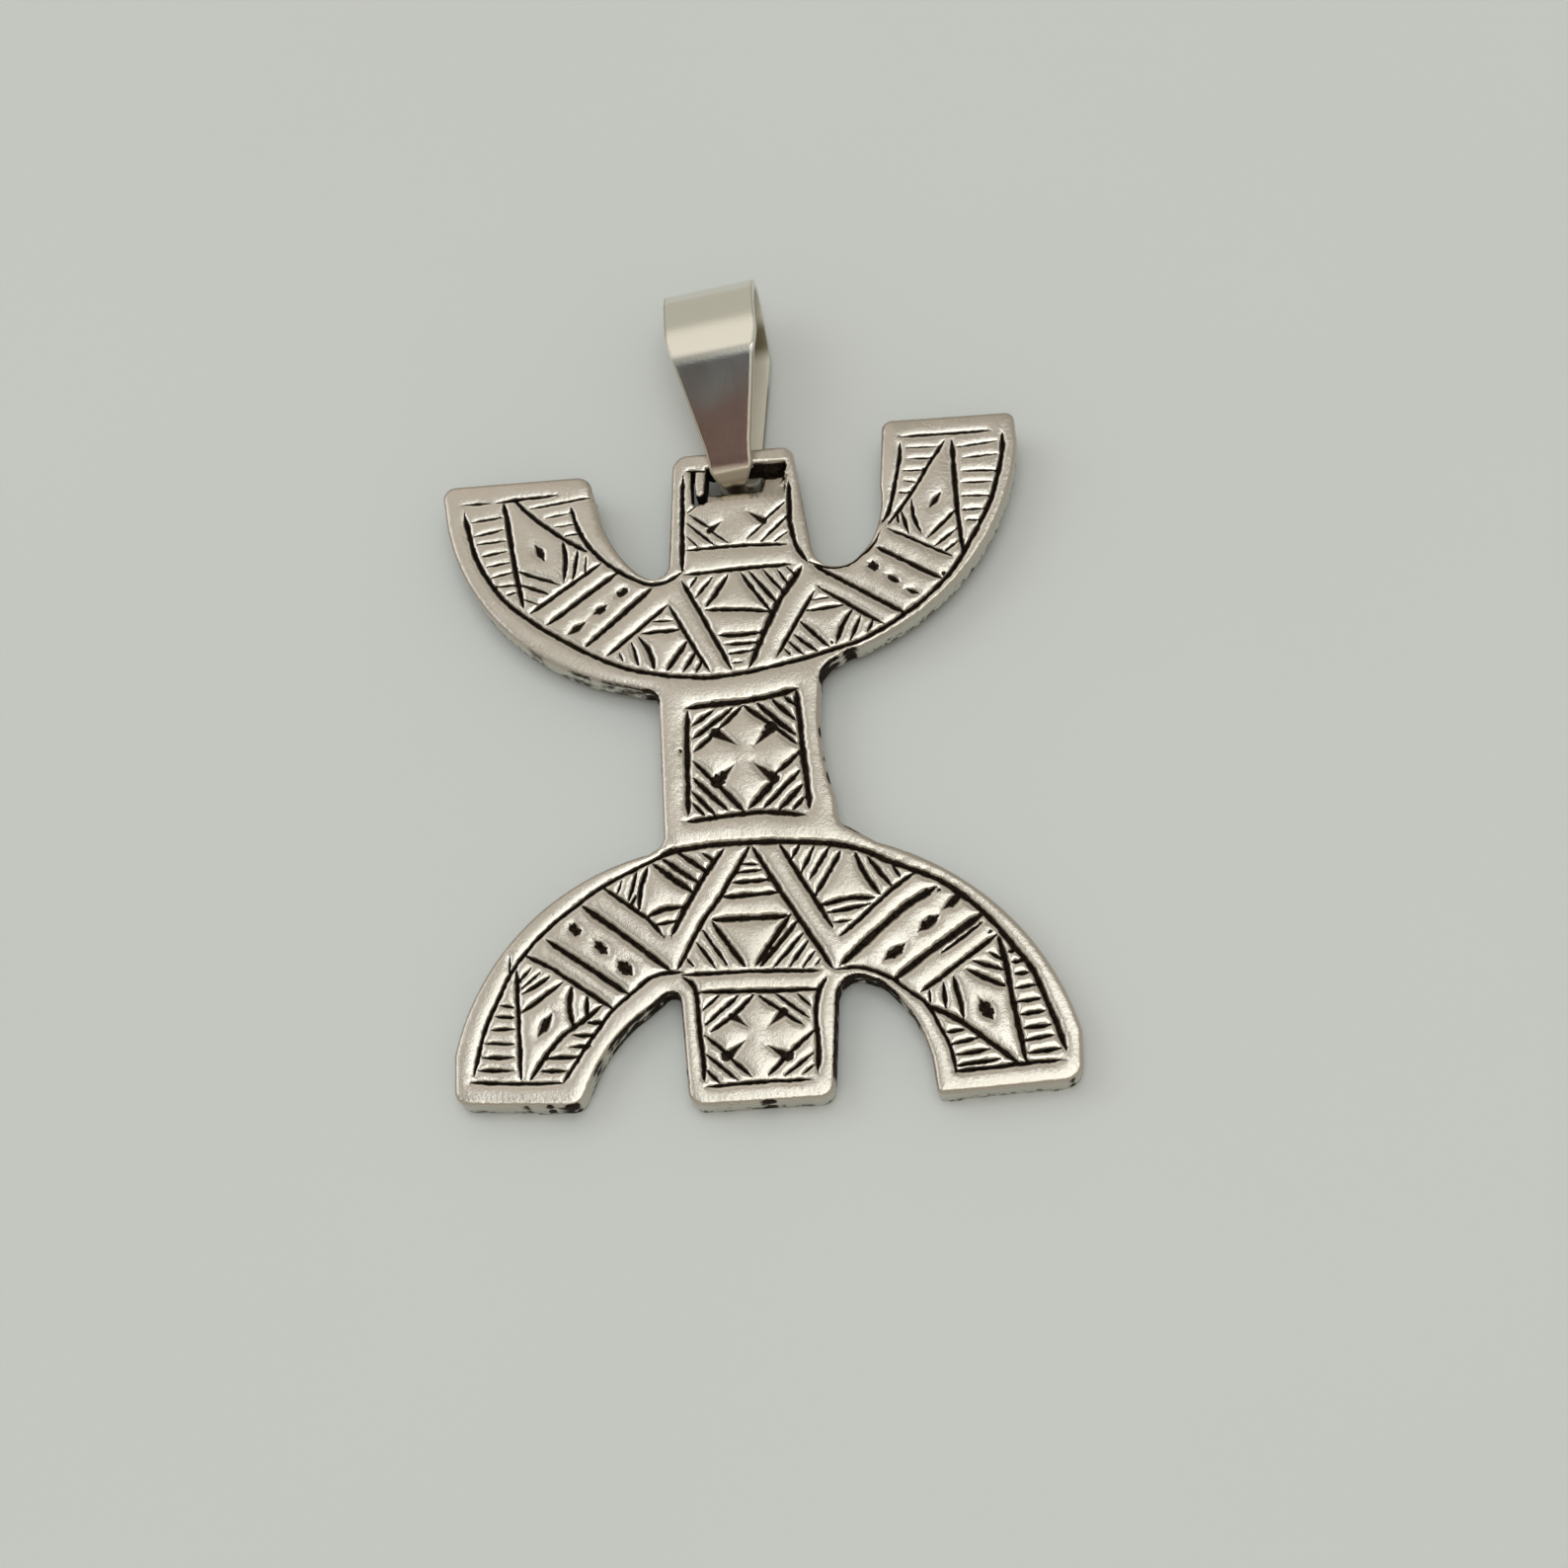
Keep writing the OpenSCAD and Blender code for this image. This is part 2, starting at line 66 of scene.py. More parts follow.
# The parts of the slot's wall: the wall lies between these sides and heights, the bar is its top,
# and the well is the stretch of its lower edge below the strap.
SLOT_SIDE = 3.25
SLOT_Y = (16.1, 18.7)
UNDER_BAR_Y = 18.3
BAR_X = (-1.6, 3.0)
WELL_SIDE = 1.70
WELL_TOP_Y = 17.55

# Edge radii of the rim, the slot and the bar, and how far from the slot its edge is looked for.
RIM_R = 0.22
SLOT_R = 0.12
BAR_R = 0.16
NEAR_SLOT = 0.5

# How the flats fall off towards a cut: how deep and from how far out, close by and further away.
CLOSE_FALL = (0.050, 0.13)
BROAD_FALL = (0.042, 0.5)

# The face's points: the spacing of the flats, the rows beside cuts and rims, and the least distance
# from a fixed line. Distances to a rim are measured as far as FAR.
GRID = 0.42
BESIDE_CUTS = (0.05, 0.14, 0.27)
BESIDE_RIM = (0.03, 0.08, 0.15, 0.24, 0.36, 0.55, 0.80)
BESIDE_SLOT = BESIDE_RIM[:4]
ON_EDGE = 1e-9
CLEAR = 0.02
FAR = 1.4

# The camera, in the plate's own mm: where it is, the way to its right and the way back from it.
CAMERA_AT = (14.57, -59.41, 144.75)
CAMERA_RIGHT = (0.9933, -0.0464, -0.1056)
CAMERA_BACK = (0.0809, -0.3722, 0.9246)
LENS = 63.48
TABLE_W = 1200.0

# The bail lies on its left edge, and the bar that rests in it lifts the top of the plate.
BAR_Z = (NARROW_R + STRAP_T) * math.cos(BAIL_LEAN) + NARROW_W / 2 * math.sin(BAIL_LEAN)
BAIL_RISE = math.atan((WIDE_W - NARROW_W) / 2 * math.sin(BAIL_LEAN) / WIDEST_AT) + math.radians(0.1)
LIFT = math.asin((BAR_Z - PLATE_T / 2) / (BAR_Y - FOOT_Y))
PLATE_PLACE = (Matrix.Translation((0, -WHOLE_LENGTH / 2, 0)) @ Matrix.Rotation(LIFT, 4, "X")
               @ Matrix.Translation((0, -FOOT_Y, 0)))
BAIL_PLACE = (Matrix.Translation(PLATE_PLACE @ Vector((0, BAR_Y, PLATE_T / 2)))
              @ Matrix.Rotation(BAIL_TURN, 4, "Z") @ Matrix.Rotation(-BAIL_LEAN, 4, "Y")
              @ Matrix.Rotation(BAIL_RISE, 4, "X") @ Matrix.Rotation(math.radians(90), 4, "Z"))

# The outline, anticlockwise from the tip of the left arm; straight edges join the arcs.
# Columns: centre x, centre y, radius, first angle, last angle
OUTLINE_ARCS = [
    (-16.60, 18.10, 0.75, 95, 185),
    (-3.45, 18.45, 13.85, 184, 256),
    (-5.80, 3.75, 0.90, 80, 0),
    (-5.75, -4.30, 0.90, 0, -75),
    (-3.00, -19.10, 14.05, 101, 168),
    (-15.80, -18.10, 0.95, 175, 265),
    (-10.40, -18.55, 0.95, 266, 335),
    (-1.25, -21.58, 8.65, 157, 121),
    (-4.75, -14.10, 0.55, 130, 0),
    (-3.05, -19.10, 0.90, 180, 268),
    (3.15, -19.20, 0.85, 274, 358),
    (5.50, -14.45, 1.10, 180, 75),
    (1.70, -19.55, 7.65, 50, 2),
    (9.72, -20.00, 0.30, 185, 265),
    (16.20, -19.00, 1.12, 272, 362),
    (1.50, -21.00, 16.30, 13, 70),
    (6.00, -3.65, 1.10, 248, 185),
    (20.60, 1.70, 16.35, 196, 174),
    (5.80, 4.30, 1.35, 180, 118),
    (1.70, 20.45, 15.10, 286, 352),
    (16.10, 19.95, 0.50, 0, 88),
    (9.45, 20.00, 0.62, 92, 178),
    (2.50, 15.80, 6.03, 6, -30),
    (5.85, 13.05, 1.55, -38, -175),
    (2.85, 18.75, 0.75, 0, 90),
    (-2.75, 18.60, 0.90, 90, 180),
    (-4.95, 12.60, 0.92, -5, -130),
    (-0.35, 17.70, 7.85, 226, 186),
    (-9.35, 17.85, 0.90, -15, 86),
]

# Corners of the slot, with the small finger of metal that was left hanging in its left end.
SLOT_CORNERS = [
    (-2.52, 18.46), (-2.55, 17.40), (-2.52, 16.30), (-2.36, 16.16), (-1.86, 16.16), (-1.62, 16.34),
    (-1.60, 16.86), (-1.30, 16.80), (0.00, 16.77), (1.56, 16.80), (1.72, 17.80),
    (2.75, 17.86), (3.05, 17.98), (3.12, 18.22), (3.00, 18.54), (1.00, 18.58), (-1.00, 18.58),
    (-1.60, 18.52), (-1.70, 17.60), (-1.80, 16.86), (-2.02, 16.68), (-2.28, 16.74), (-2.30, 17.60),
    (-2.26, 18.42),
]

# Engraved cuts. Columns: width, then x and y of each bend from one end to the other
BORDER_CUTS = [
    (0.27, -16.05, 16.90, -15.45, 14.20, -14.50, 12.20, -13.60, 10.95, -12.40, 9.80, -11.20, 8.85,
     -9.70, 7.80, -7.85, 6.65, -5.60, 5.75, -2.45, 5.15, 0.00, 5.20, 1.65, 5.45),
    (0.27, 1.30, 5.38, 3.30, 5.75, 4.85, 6.10, 7.20, 6.80, 9.70, 8.20, 12.15, 10.30, 13.80, 12.85,
     14.95, 15.05, 15.70, 17.70, 15.85, 19.05),
    (0.22, -15.65, -17.40, -15.30, -15.85, -14.90, -14.50, -13.60, -11.75, -12.50, -10.30, -11.20,
     -9.05, -9.70, -7.95, -8.20, -6.95, -5.60, -5.80, -4.45, -5.30),
    (0.36, -5.20, -5.62, -4.45, -5.30, -2.10, -5.10, 1.00, -5.15, 4.10, -5.50, 6.00, -6.00, 7.60,
     -6.85, 8.95, -7.50, 10.40, -8.25, 11.50, -9.15, 12.60, -10.25, 13.50, -11.45, 14.90, -13.55,
     15.45, -15.00, 15.90, -16.40, 16.45, -18.40),
    (0.24, -9.70, 16.75, -9.35, 15.40, -8.60, 14.00, -7.35, 12.60, -5.50, 11.40, -4.30, 11.35,
     -3.30, 11.85),
    (0.10, -8.25, 17.30, -7.90, 16.10, -7.55, 14.85),
    (0.22, 9.87, 19.00, 9.70, 17.70, 9.35, 16.15, 8.95, 14.70, 8.50, 13.95),
    (0.14, 8.30, 13.30, 7.90, 12.55, 6.60, 11.55, 5.75, 11.35, 5.00, 11.45, 4.10, 11.85),
    (0.28, -3.00, 18.00, -3.15, 15.00, -3.25, 11.90),
    (0.30, 3.20, 17.10, 3.15, 15.00, 3.20, 14.15, 3.50, 12.85, 4.05, 11.85),
    (0.22, -10.75, -18.15, -9.75, -16.65, -8.70, -15.20, -7.85, -14.15, -6.90, -13.40, -5.90,
     -12.60, -4.85, -12.35, -4.10, -12.40),
    (0.20, 4.30, -12.90, 5.85, -12.90, 7.40, -13.65, 8.30, -14.45, 9.15, -15.20, 9.85, -16.65,
     10.30, -17.75, 10.50, -19.10),
    (0.29, -4.05, -12.65, -3.50, -13.15, -3.30, -13.85, -3.25, -15.40, -3.10, -17.00, -3.05, -18.60),
    (0.30, 3.85, -13.30, 3.35, -14.10, 3.15, -15.40, 3.20, -17.00, 3.10, -18.55),
    (0.20, -2.90, -18.95, 0.00, -18.90, 2.70, -18.95),
]

LEFT_ARM_CUTS = [
    (0.16, -16.10, 17.55, -14.50, 17.50),
    (0.20, -14.10, 17.50, -10.60, 17.65),
    (0.15, -12.10, 16.90, -8.50, 17.30),
    (0.30, -13.70, 17.40, -13.40, 15.50, -13.10, 13.25, -12.60, 10.50),
    (0.26, -13.00, 17.50, -12.00, 16.35, -10.25, 14.80, -8.80, 13.75),
    (0.17, -15.65, 16.35, -13.80, 16.50),
    (0.17, -15.50, 15.40, -13.75, 15.70),
    (0.17, -15.30, 14.85, -13.60, 14.95),
    (0.17, -15.00, 14.05, -13.55, 14.25),
    (0.17, -14.75, 13.35, -13.35, 13.50),
    (0.17, -14.50, 12.60, -13.20, 12.85),
    (0.17, -14.20, 12.00, -13.00, 12.00),
    (0.15, -13.60, 11.40, -13.00, 11.50),
    (0.12, -11.20, 16.20, -9.70, 16.40),
    (0.12, -10.65, 15.55, -9.30, 15.65),
    (0.12, -10.10, 14.90, -9.00, 15.00),
    (0.30, -10.20, 14.55, -10.10, 13.30, -10.20, 12.00),
    (0.25, -9.35, 13.90, -9.65, 12.05),
    (0.12, -8.85, 13.45, -8.95, 12.25),
    (0.20, -12.85, 12.85, -10.50, 11.80),
    (0.25, -12.70, 11.95, -11.10, 11.25),
    (0.12, -12.55, 11.00, -11.75, 10.65),
    (0.25, -7.95, 12.95, -12.20, 10.10),
    (0.30, -7.05, 12.25, -11.20, 9.30),
    (0.35, -5.05, 11.05, -9.00, 7.70),
    (0.25, -4.20, 9.85, -7.75, 7.00),
    (0.25, -4.10, 9.85, -3.00, 7.60, -1.90, 5.50),
    (0.15, -5.05, 8.90, -3.90, 8.85),
    (0.25, -5.70, 8.20, -3.50, 8.25),
    (0.30, -5.90, 8.00, -5.35, 7.10, -5.05, 5.90),
    (0.20, -6.35, 7.70, -5.95, 6.20),
    (0.15, -7.05, 7.10, -6.85, 6.55),
    (0.35, -3.10, 7.50, -4.35, 5.75),
    (0.30, -2.60, 6.85, -3.40, 5.60),
    (0.20, -2.25, 6.25, -2.65, 5.50),
]

PRONG_CUTS = [
    (0.13, -2.75, 18.42, -2.30, 18.40, -1.66, 18.30),
    (0.10, -2.30, 16.10, -2.75, 15.75),
    (0.18, -2.70, 15.55, -1.50, 14.55),
    (0.16, -1.55, 14.42, -0.50, 13.52),
    (0.18, -2.85, 15.00, -1.35, 13.50),
    (0.12, -2.85, 14.10, -2.30, 13.45),
    (0.18, 2.90, 15.85, 1.60, 14.72),
    (0.16, 1.70, 14.66, 0.62, 13.70),
    (0.18, 3.00, 14.90, 1.40, 13.40),
    (0.12, 3.00, 13.90, 2.20, 13.35),
    (0.22, -2.95, 13.25, 0.00, 13.30, 2.90, 13.10),
    (0.26, -3.10, 11.70, 0.50, 11.80, 3.10, 11.80),
]

MIDDLE_CUTS = [
    (0.27, -3.30, 11.30, -2.20, 9.00, -0.60, 5.45),
    (0.38, 3.70, 11.60, 2.00, 9.00, 0.40, 5.50),
    (0.33, -0.60, 11.45, -1.95, 9.55),
    (0.25, 0.15, 11.55, 0.85, 10.35, 1.75, 8.95),
    (0.28, -2.00, 9.35, 0.00, 9.20, 1.80, 8.90),
    (0.20, -1.50, 11.40, -2.50, 10.20),
    (0.15, -2.40, 11.50, -2.85, 10.85),
    (0.25, 0.65, 11.55, 2.20, 9.35),
    (0.20, 1.45, 11.60, 2.60, 10.05),
    (0.18, 2.30, 11.50, 2.90, 10.50),
    (0.12, 2.80, 11.65, 3.30, 11.10),
    (0.28, -1.30, 7.70, 0.00, 7.60, 1.20, 7.65),
    (0.22, -0.95, 7.05, 0.90, 7.05),
    (0.18, -0.75, 6.45, 0.70, 6.55),
    (0.12, -0.50, 5.85, 0.05, 5.85),
]

RIGHT_ARM_CUTS = [
    (0.25, 4.35, 9.95, 3.20, 8.10, 2.00, 6.05),
    (0.28, 4.70, 10.10, 8.20, 7.50),
    (0.15, 4.10, 9.40, 5.20, 9.45),
    (0.25, 3.80, 8.75, 6.00, 8.90),
    (0.30, 3.45, 8.10, 5.00, 6.40),
    (0.25, 3.05, 7.30, 4.35, 6.15),
    (0.25, 2.70, 6.90, 3.50, 6.05),
    (0.15, 2.45, 6.50, 2.80, 6.05),
    (0.35, 6.50, 8.60, 5.85, 7.70, 5.45, 6.55),
    (0.25, 6.95, 8.20, 6.25, 6.65),
    (0.20, 7.60, 7.80, 7.25, 7.10),
    (0.35, 4.40, 11.60, 9.45, 8.10),
    (0.35, 8.10, 12.40, 11.70, 10.05),
    (0.20, 8.85, 13.50, 12.40, 11.40),
    (0.18, 10.00, 19.40, 15.10, 19.30),
    (0.25, 12.45, 18.90, 11.60, 17.70, 10.25, 15.60, 8.85, 13.80),
    (0.33, 12.87, 18.90, 12.90, 14.40, 13.05, 11.60),
    (0.13, 10.25, 18.65, 12.00, 18.55),
    (0.13, 10.30, 17.90, 11.75, 17.85),
    (0.13, 10.00, 17.15, 11.20, 17.10),
    (0.12, 10.00, 16.50, 10.60, 16.35),
    (0.12, 9.60, 15.80, 10.25, 15.70),
    (0.15, 13.20, 18.40, 15.45, 18.55),
    (0.15, 13.50, 17.65, 15.45, 17.70),
    (0.15, 13.35, 16.80, 15.35, 16.65),
    (0.15, 13.25, 16.05, 14.95, 15.95),
    (0.15, 13.20, 15.20, 14.85, 15.05),
    (0.15, 13.20, 14.30, 14.55, 14.25),
    (0.13, 13.40, 13.60, 14.25, 13.55),
    (0.25, 10.30, 15.25, 10.35, 14.10, 10.70, 13.10),
    (0.25, 9.65, 14.55, 10.00, 13.10),
    (0.15, 9.40, 14.40, 9.45, 13.80),
    (0.25, 12.80, 14.35, 11.05, 12.70),
    (0.20, 12.80, 13.15, 11.40, 12.10),
    (0.20, 12.80, 12.35, 12.00, 11.75),
]

NECK_CUTS = [
    (0.34, -3.30, 3.30, -2.00, 3.40, 0.00, 3.45, 1.35, 3.60, 3.10, 3.95),
    (0.30, -3.25, 3.15, -3.35, 1.00, -3.40, -3.20),
    (0.34, 3.00, 3.85, 3.10, 2.45, 3.15, 1.00, 3.20, -0.20, 3.35, -1.95, 3.40, -3.40),
    (0.28, -3.50, -3.60, -2.20, -3.50, 0.45, -3.35, 1.80, -3.50, 3.15, -3.75),
    (0.24, -2.95, 0.60, -1.72, 1.62),
    (0.24, -1.62, 1.75, -0.10, 3.15),
    (0.25, -3.00, 1.40, -0.65, 3.10),
    (0.25, -3.00, 2.20, -1.75, 3.05),
    (0.28, -0.02, 3.18, 1.62, 1.78),
    (0.24, 1.58, 1.80, 2.90, 0.55),
    (0.30, 0.75, 3.25, 1.80, 2.15, 2.85, 1.10),
    (0.28, 1.60, 3.40, 2.90, 2.00),
    (0.22, 2.30, 3.50, 2.85, 2.95),
    (0.25, -3.00, 0.00, -1.60, -1.70),
    (0.38, -1.60, -1.60, -0.30, -3.20),
    (0.30, -3.05, -1.00, -1.20, -3.10),
    (0.25, -3.15, -1.80, -1.90, -3.30),
    (0.20, -3.15, -2.50, -2.45, -3.30),
    (0.26, 3.00, 0.05, 1.55, -1.20),
    (0.36, 1.62, -1.42, 0.00, -3.12),
    (0.28, 3.00, -1.05, 0.85, -3.15),
    (0.30, 3.10, -1.90, 1.70, -3.30),
    (0.22, 3.15, -2.70, 2.45, -3.40),
]

LEFT_LEG_CUTS = [
    (0.16, -15.85, -17.75, -13.40, -18.00, -10.75, -18.15),
    (0.22, -13.25, -11.55, -13.15, -14.90, -13.05, -17.80),
    (0.25, -12.55, -17.85, -11.60, -16.45, -10.65, -15.40, -9.70, -14.80, -8.50, -13.90),
    (0.10, -13.60, -10.75, -13.65, -11.80),
    (0.18, -14.15, -13.50, -13.40, -13.65),
    (0.18, -14.45, -14.10, -13.40, -14.25),
    (0.18, -14.70, -14.85, -13.35, -14.90),
    (0.18, -15.00, -15.60, -13.40, -15.75),
    (0.18, -15.15, -16.40, -13.40, -16.50),
    (0.18, -15.40, -17.10, -13.45, -17.25),
    (0.20, -9.35, -14.85, -8.40, -14.90),
    (0.20, -10.15, -15.50, -9.00, -15.60),
    (0.20, -10.25, -16.15, -9.20, -16.20),
    (0.20, -11.70, -16.70, -9.75, -16.75),
    (0.20, -11.95, -17.40, -10.55, -17.50),
    (0.25, -13.00, -14.00, -10.70, -12.45),
    (0.22, -12.95, -12.95, -11.40, -12.05),
    (0.15, -13.00, -12.65, -11.90, -11.75),
    (0.15, -13.10, -12.20, -12.45, -11.50),
    (0.30, -10.20, -12.70, -10.35, -13.90, -10.15, -15.00),
    (0.22, -9.35, -13.35, -9.40, -14.60),
    (0.22, -12.70, -10.75, -11.20, -11.65, -7.95, -14.15),
    (0.30, -11.55, -9.90, -7.05, -13.40),
    (0.32, -9.50, -8.10, -7.10, -10.10, -4.75, -12.20),
    (0.20, -8.30, -7.15, -6.00, -9.05, -5.05, -10.20),
    (0.28, -1.50, -5.40, -2.45, -6.60, -3.80, -8.75, -4.55, -10.20),
    (0.35, -5.50, -5.95, -3.30, -7.80),
    (0.32, -4.95, -5.70, -2.95, -7.25),
    (0.28, -4.05, -5.40, -2.35, -6.75),
    (0.20, -2.70, -5.55, -2.10, -6.00),
    (0.25, -5.80, -6.10, -6.20, -7.30, -6.35, -8.60),
    (0.20, -6.40, -6.30, -6.90, -8.00),
    (0.12, -7.25, -6.80, -7.55, -7.55),
    (0.15, -6.50, -7.70, -6.75, -8.25),
    (0.30, -5.90, -9.00, -4.95, -8.65, -3.80, -8.60),
    (0.18, -5.60, -9.55, -4.15, -9.40),
]

MIDDLE_LEG_CUTS = [
    (0.25, -0.05, -5.35, -1.80, -8.15, -2.90, -9.65, -4.30, -12.20),
    (0.28, 0.10, -5.40, 1.50, -8.00, 3.00, -10.65, 4.20, -12.80),
    (0.25, 1.65, -5.40, 2.95, -7.85, 4.35, -10.50),
    (0.15, -0.55, -6.35, 0.40, -6.45),
    (0.20, -0.80, -6.85, 0.60, -6.80),
    (0.22, -1.10, -7.40, 1.00, -7.40),
    (0.28, -1.65, -8.20, 1.50, -8.20),
    (0.34, -2.30, -9.50, 1.90, -9.60),
    (0.28, -2.30, -9.60, -1.50, -10.90, -0.55, -12.35),
    (0.30, 2.05, -9.55, 1.10, -10.80, 0.00, -12.30),
    (0.18, -2.85, -10.05, -1.55, -12.20),
    (0.18, -3.20, -10.75, -2.20, -12.30),
    (0.12, -3.75, -11.65, -3.40, -12.10),
    (0.26, 2.40, -9.95, 0.25, -12.40),
    (0.22, 2.70, -10.65, 1.00, -12.50),
    (0.20, 2.95, -11.10, 1.85, -12.55),
    (0.15, 3.30, -11.75, 2.55, -12.65),
    (0.10, 3.60, -12.20, 3.30, -12.55),
    (0.20, -4.10, -12.55, 0.00, -12.65, 3.50, -12.90),
    (0.24, -3.15, -13.60, 0.60, -13.80, 3.30, -13.95),
    (0.25, 5.00, -6.05, 4.45, -7.00, 3.45, -8.55),
    (0.20, 4.40, -5.75, 3.20, -7.60),
    (0.20, 3.55, -5.65, 2.75, -7.15),
    (0.18, 2.75, -5.50, 2.25, -6.30),
    (0.28, 3.65, -9.15, 5.40, -8.85, 6.75, -8.95),
    (0.22, 4.05, -9.60, 6.40, -9.30),
    (0.15, 4.40, -10.20, 5.30, -10.15),
    (0.22, -0.15, -13.95, -1.30, -15.00, -2.60, -15.90),
    (0.20, -1.00, -13.95, -2.90, -15.50),
    (0.15, -2.05, -13.85, -3.00, -14.65),
    (0.22, 0.10, -14.05, 2.40, -15.85),
    (0.18, 1.00, -14.00, 2.75, -15.50),
    (0.18, 2.20, -14.10, 2.90, -14.85),
    (0.24, -2.90, -16.10, -1.70, -17.25),
    (0.22, -1.75, -17.28, -0.50, -18.55),
    (0.20, -2.90, -17.15, -1.25, -18.70),
    (0.20, -2.90, -18.05, -2.20, -18.80),
    (0.24, 3.00, -16.25, 1.50, -17.50),
    (0.22, 1.62, -17.42, 0.42, -18.55),
    (0.18, 2.95, -17.45, 1.30, -18.65),
    (0.15, 2.95, -18.15, 2.30, -18.60),
]

RIGHT_LEG_CUTS = [
    (0.25, 5.80, -6.25, 6.30, -7.60, 7.05, -8.80),
    (0.28, 6.45, -6.50, 7.70, -8.35),
    (0.18, 7.80, -7.15, 8.20, -7.85),
    (0.20, 4.70, -11.00, 5.95, -10.00, 7.60, -8.60, 8.95, -7.70),
    (0.34, 4.65, -12.65, 8.20, -9.70, 10.15, -8.60),
    (0.36, 7.55, -13.70, 9.30, -12.45, 12.50, -10.35),
    (0.14, 10.15, -12.45, 12.50, -10.85),
    (0.22, 8.90, -14.55, 13.25, -11.60),
    (0.28, 9.15, -15.30, 10.50, -16.00, 11.60, -16.90, 13.80, -18.85),
    (0.30, 13.30, -11.70, 13.60, -13.35, 13.80, -15.30, 14.25, -18.85),
    (0.20, 10.40, -19.10, 14.20, -18.95, 16.10, -18.90),
    (0.18, 13.75, -12.65, 14.15, -12.60),
    (0.19, 13.90, -13.25, 14.50, -13.20),
    (0.19, 14.05, -13.95, 14.80, -13.90),
    (0.20, 13.95, -14.75, 15.10, -14.60),
    (0.20, 14.00, -15.50, 15.35, -15.40),
    (0.20, 14.15, -16.25, 15.50, -16.10),
    (0.20, 14.25, -17.00, 15.75, -16.90),
    (0.20, 14.25, -17.70, 15.85, -17.50),
    (0.20, 14.35, -18.40, 16.20, -18.25),
    (0.18, 10.15, -16.90, 11.10, -16.85),
    (0.20, 10.30, -17.60, 11.85, -17.35),
    (0.20, 10.55, -18.20, 12.40, -18.00),
    (0.20, 10.55, -18.80, 12.90, -18.60),
    (0.28, 11.45, -13.45, 13.50, -14.60),
    (0.22, 11.80, -13.00, 13.45, -13.65),
    (0.15, 12.75, -12.60, 13.40, -13.05),
    (0.25, 10.70, -13.80, 10.90, -14.80, 11.10, -16.20),
    (0.20, 10.15, -14.10, 10.20, -15.55),
    (0.12, 9.35, -14.45, 9.40, -15.20),
]

# Diamond punch marks. Columns: width, then x and y of both points
PUNCHES = [
    (0.38, -11.85, 14.50, -11.33, 13.40),
    (0.34, -7.12, 10.74, -6.47, 11.16),
    (0.34, -8.50, 9.69, -7.70, 10.21),
    (0.36, -10.02, 8.56, -8.98, 9.24),
    (0.34, 7.60, 11.42, 8.10, 10.98),
    (0.34, 8.62, 10.56, 9.28, 10.04),
    (0.28, 9.62, 9.58, 10.38, 9.22),
    (0.32, 11.28, 14.63, 12.02, 15.57),
    (0.44, -12.10, -15.43, -11.30, -14.17),
    (0.44, -10.20, -9.15, -9.70, -9.75),
    (0.42, -8.85, -10.18, -8.15, -11.02),
    (0.44, -7.60, -11.45, -6.80, -12.35),
    (0.48, 7.05, -12.56, 8.22, -11.74),
    (0.48, 9.02, -11.07, 10.18, -10.23),
    (0.44, 10.42, -9.92, 11.58, -9.08),
    (0.48, 12.04, -15.20, 12.68, -16.40),
]

# Fangs of the crosses, wide where they leave the frame. Columns: width, root x and y, tip x and y
FANGS = [
    (0.58, -1.62, 14.36, -0.82, 14.96),
    (0.62, 1.70, 14.66, 0.68, 15.45),
    (0.74, -1.80, 1.75, -0.45, 0.76),
    (0.84, 1.64, 1.84, 0.50, 0.66),
    (0.84, -1.82, -1.44, -0.70, -0.40),
    (0.80, 1.64, -1.50, 0.36, -0.36),
    (0.60, -1.42, -15.05, -0.58, -15.76),
    (0.66, 1.46, -15.02, 0.58, -15.82),
    (0.70, -1.88, -17.42, -0.72, -16.52),
    (0.74, 1.66, -17.66, 0.46, -16.90),
]

# Small pits and nicks. Columns: x, y, radius, depth
PITS = [
    (-4.20, 1.20, 0.10, 0.10),
    (-3.70, 0.65, 0.09, 0.10),
    (4.30, 1.80, 0.07, 0.06),
    (4.40, -0.50, 0.08, 0.07),
    (2.10, -0.65, 0.10, 0.10),
    (11.85, 10.35, 0.10, 0.10),
    (9.55, 8.25, 0.09, 0.10),
    (5.20, 6.60, 0.08, 0.08),
    (10.30, -8.80, 0.10, 0.10),
    (12.90, -11.40, 0.09, 0.08),
    (9.00, 6.70, 0.12, 0.10),
    (-8.60, -5.60, 0.07, 0.07),
    (-15.40, -9.20, 0.07, 0.05),
]

